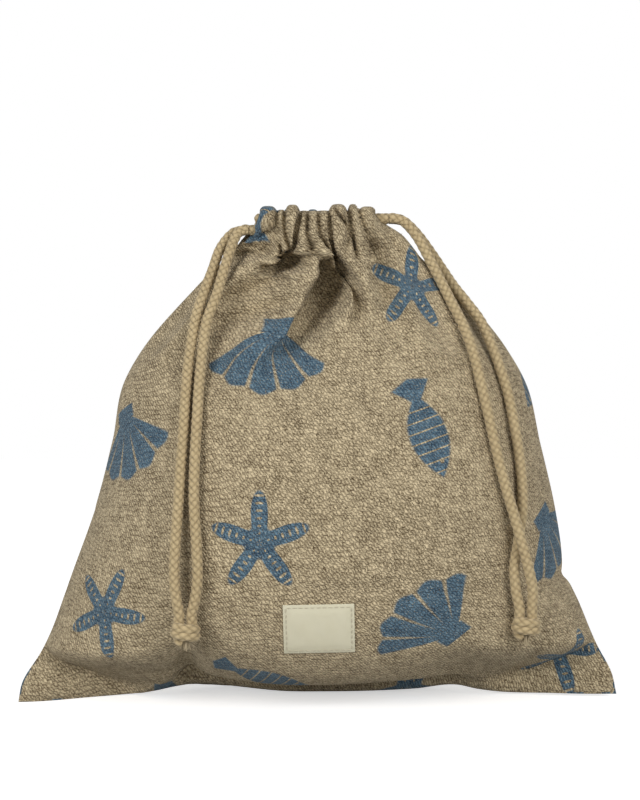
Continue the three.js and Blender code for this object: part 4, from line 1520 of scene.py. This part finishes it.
def yarn_material(name, colour, scale):
    """Thread and loose yarn: one colour with fine streaks."""
    made, tree, shader = new_material(name, 0.85)
    streak = add_node(tree, "TexCoord", result="Object").noise(scale)
    dark = (*(STREAK_DARK * part for part in colour), 1)
    feed(shader.inputs["Base Color"], blend_colour(streak, dark, (*colour, 1)))
    add_bump(shader, streak, 0.08 * MM)
    return made


cotton = cord_material()
for piece in (*knots.values(), *tails.values(), *hidden_cord):
    piece.data.materials.append(cotton)
loose_cotton = yarn_material("loose_cotton_yarn", LOOSE_COTTON, 1500)
for tip in tips.values():
    tip.data.materials.append(loose_cotton)
label_thread.data.materials.append(yarn_material("cream_thread", CREAM_THREAD, 2500))
natural_thread = yarn_material("natural_thread", NATURAL_THREAD, 2500)
for seam in (front_seam, back_seam):
    seam.data.materials.append(natural_thread)
print("materials so far:", len(bpy.data.materials))

# %% [markdown]
# ## Ribbon label
# The label is a smooth cotton ribbon. Its weave is so fine that it reads as a faint grain, so a small
# wave each way over the UV map and a little slow noise are enough.

# %% Finish the label
RIBBON_THREAD = 0.34
RIBBON_DARK = (0.6, 0.56, 0.4, 1)
RIBBON_LIGHT = (0.72, 0.69, 0.54, 1)


def ribbon_material():
    made, tree, shader = new_material("cream_ribbon", 0.7)
    position = cloth_position(tree, LABEL_SIZE)
    u, v = position.split()
    grain = wave(u, RIBBON_THREAD) * wave(v, RIBBON_THREAD)
    tone = calc("ADD", grain * 0.35, position.noise(0.12) * 0.6, clamp=True)
    feed(shader.inputs["Base Color"], blend_colour(tone, RIBBON_DARK, RIBBON_LIGHT))
    add_bump(shader, grain, 0.06 * MM)
    return made


label.data.materials.append(ribbon_material())
print("label finish:", label.data.materials[0].name)

# %% [markdown]
# ## Table and light
# The bag stands on a white table in front of white. The table is plain diffuse white, which takes the
# bag's shadow, and what the camera sees of it gets a little glow on top, so that it comes out white where
# no shadow falls. Two large soft lamps stand in front, one on each side, so the deep folds stay dark, and
# the world fills in the rest, at a level where colours come out as they are written.

# %% Build the studio
FLOOR_SIZE = 3
FLOOR_WHITE = (0.95, 0.95, 0.95, 1)
FLOOR_BOUNCE = (0.5, 0.5, 0.5, 1)
FLOOR_GLOW = 0.54
WORLD_LIGHT = 0.4
WHITE = (1, 1, 1, 1)
LAMP_SIZE = 0.8


def seen_directly(tree):
    """1 for the camera and for what it sees in a mirror or through glass."""
    seen = 0
    for ray in ("Is Camera Ray", "Is Glossy Ray", "Is Transmission Ray"):
        seen = calc("MAXIMUM", seen, add_node(tree, "LightPath", result=ray))
    return seen


def floor_material():
    made, tree, shader = new_material("white_table", 0.9)
    seen = seen_directly(tree)
    feed(shader.inputs["Base Color"], blend_colour(seen, FLOOR_BOUNCE, FLOOR_WHITE))
    feed(shader.inputs["Emission Color"], WHITE)
    feed(shader.inputs["Emission Strength"], seen * FLOOR_GLOW)
    return made


def soft_lamp(name, location, watts):
    bpy.ops.object.light_add(type="AREA", location=location)
    lamp = bpy.context.object
    lamp.name = name
    lamp.data.size = LAMP_SIZE
    lamp.data.energy = watts
    lamp.rotation_euler = (Vector(location) - LOOK_AT).to_track_quat("Z", "Y").to_euler()


clear_selection()
bpy.ops.mesh.primitive_plane_add(size=FLOOR_SIZE)
table = bpy.context.object
table.name = "table"
table.data.materials.append(floor_material())
soft_lamp("left_softbox", (-1.05, -1.3, 0.75), 16)
soft_lamp("right_softbox", (1.05, -1.3, 0.75), 14)

world = bpy.data.worlds.new("white_room")
bpy.context.scene.world = world
world.use_nodes = True
sky = world.node_tree.nodes["Background"]
feed(sky.inputs["Color"], WHITE)
feed(sky.inputs["Strength"], seen_directly(world.node_tree) * (1 - WORLD_LIGHT) + WORLD_LIGHT)
bpy.context.scene.view_settings.view_transform = "Standard"
print("studio ready")
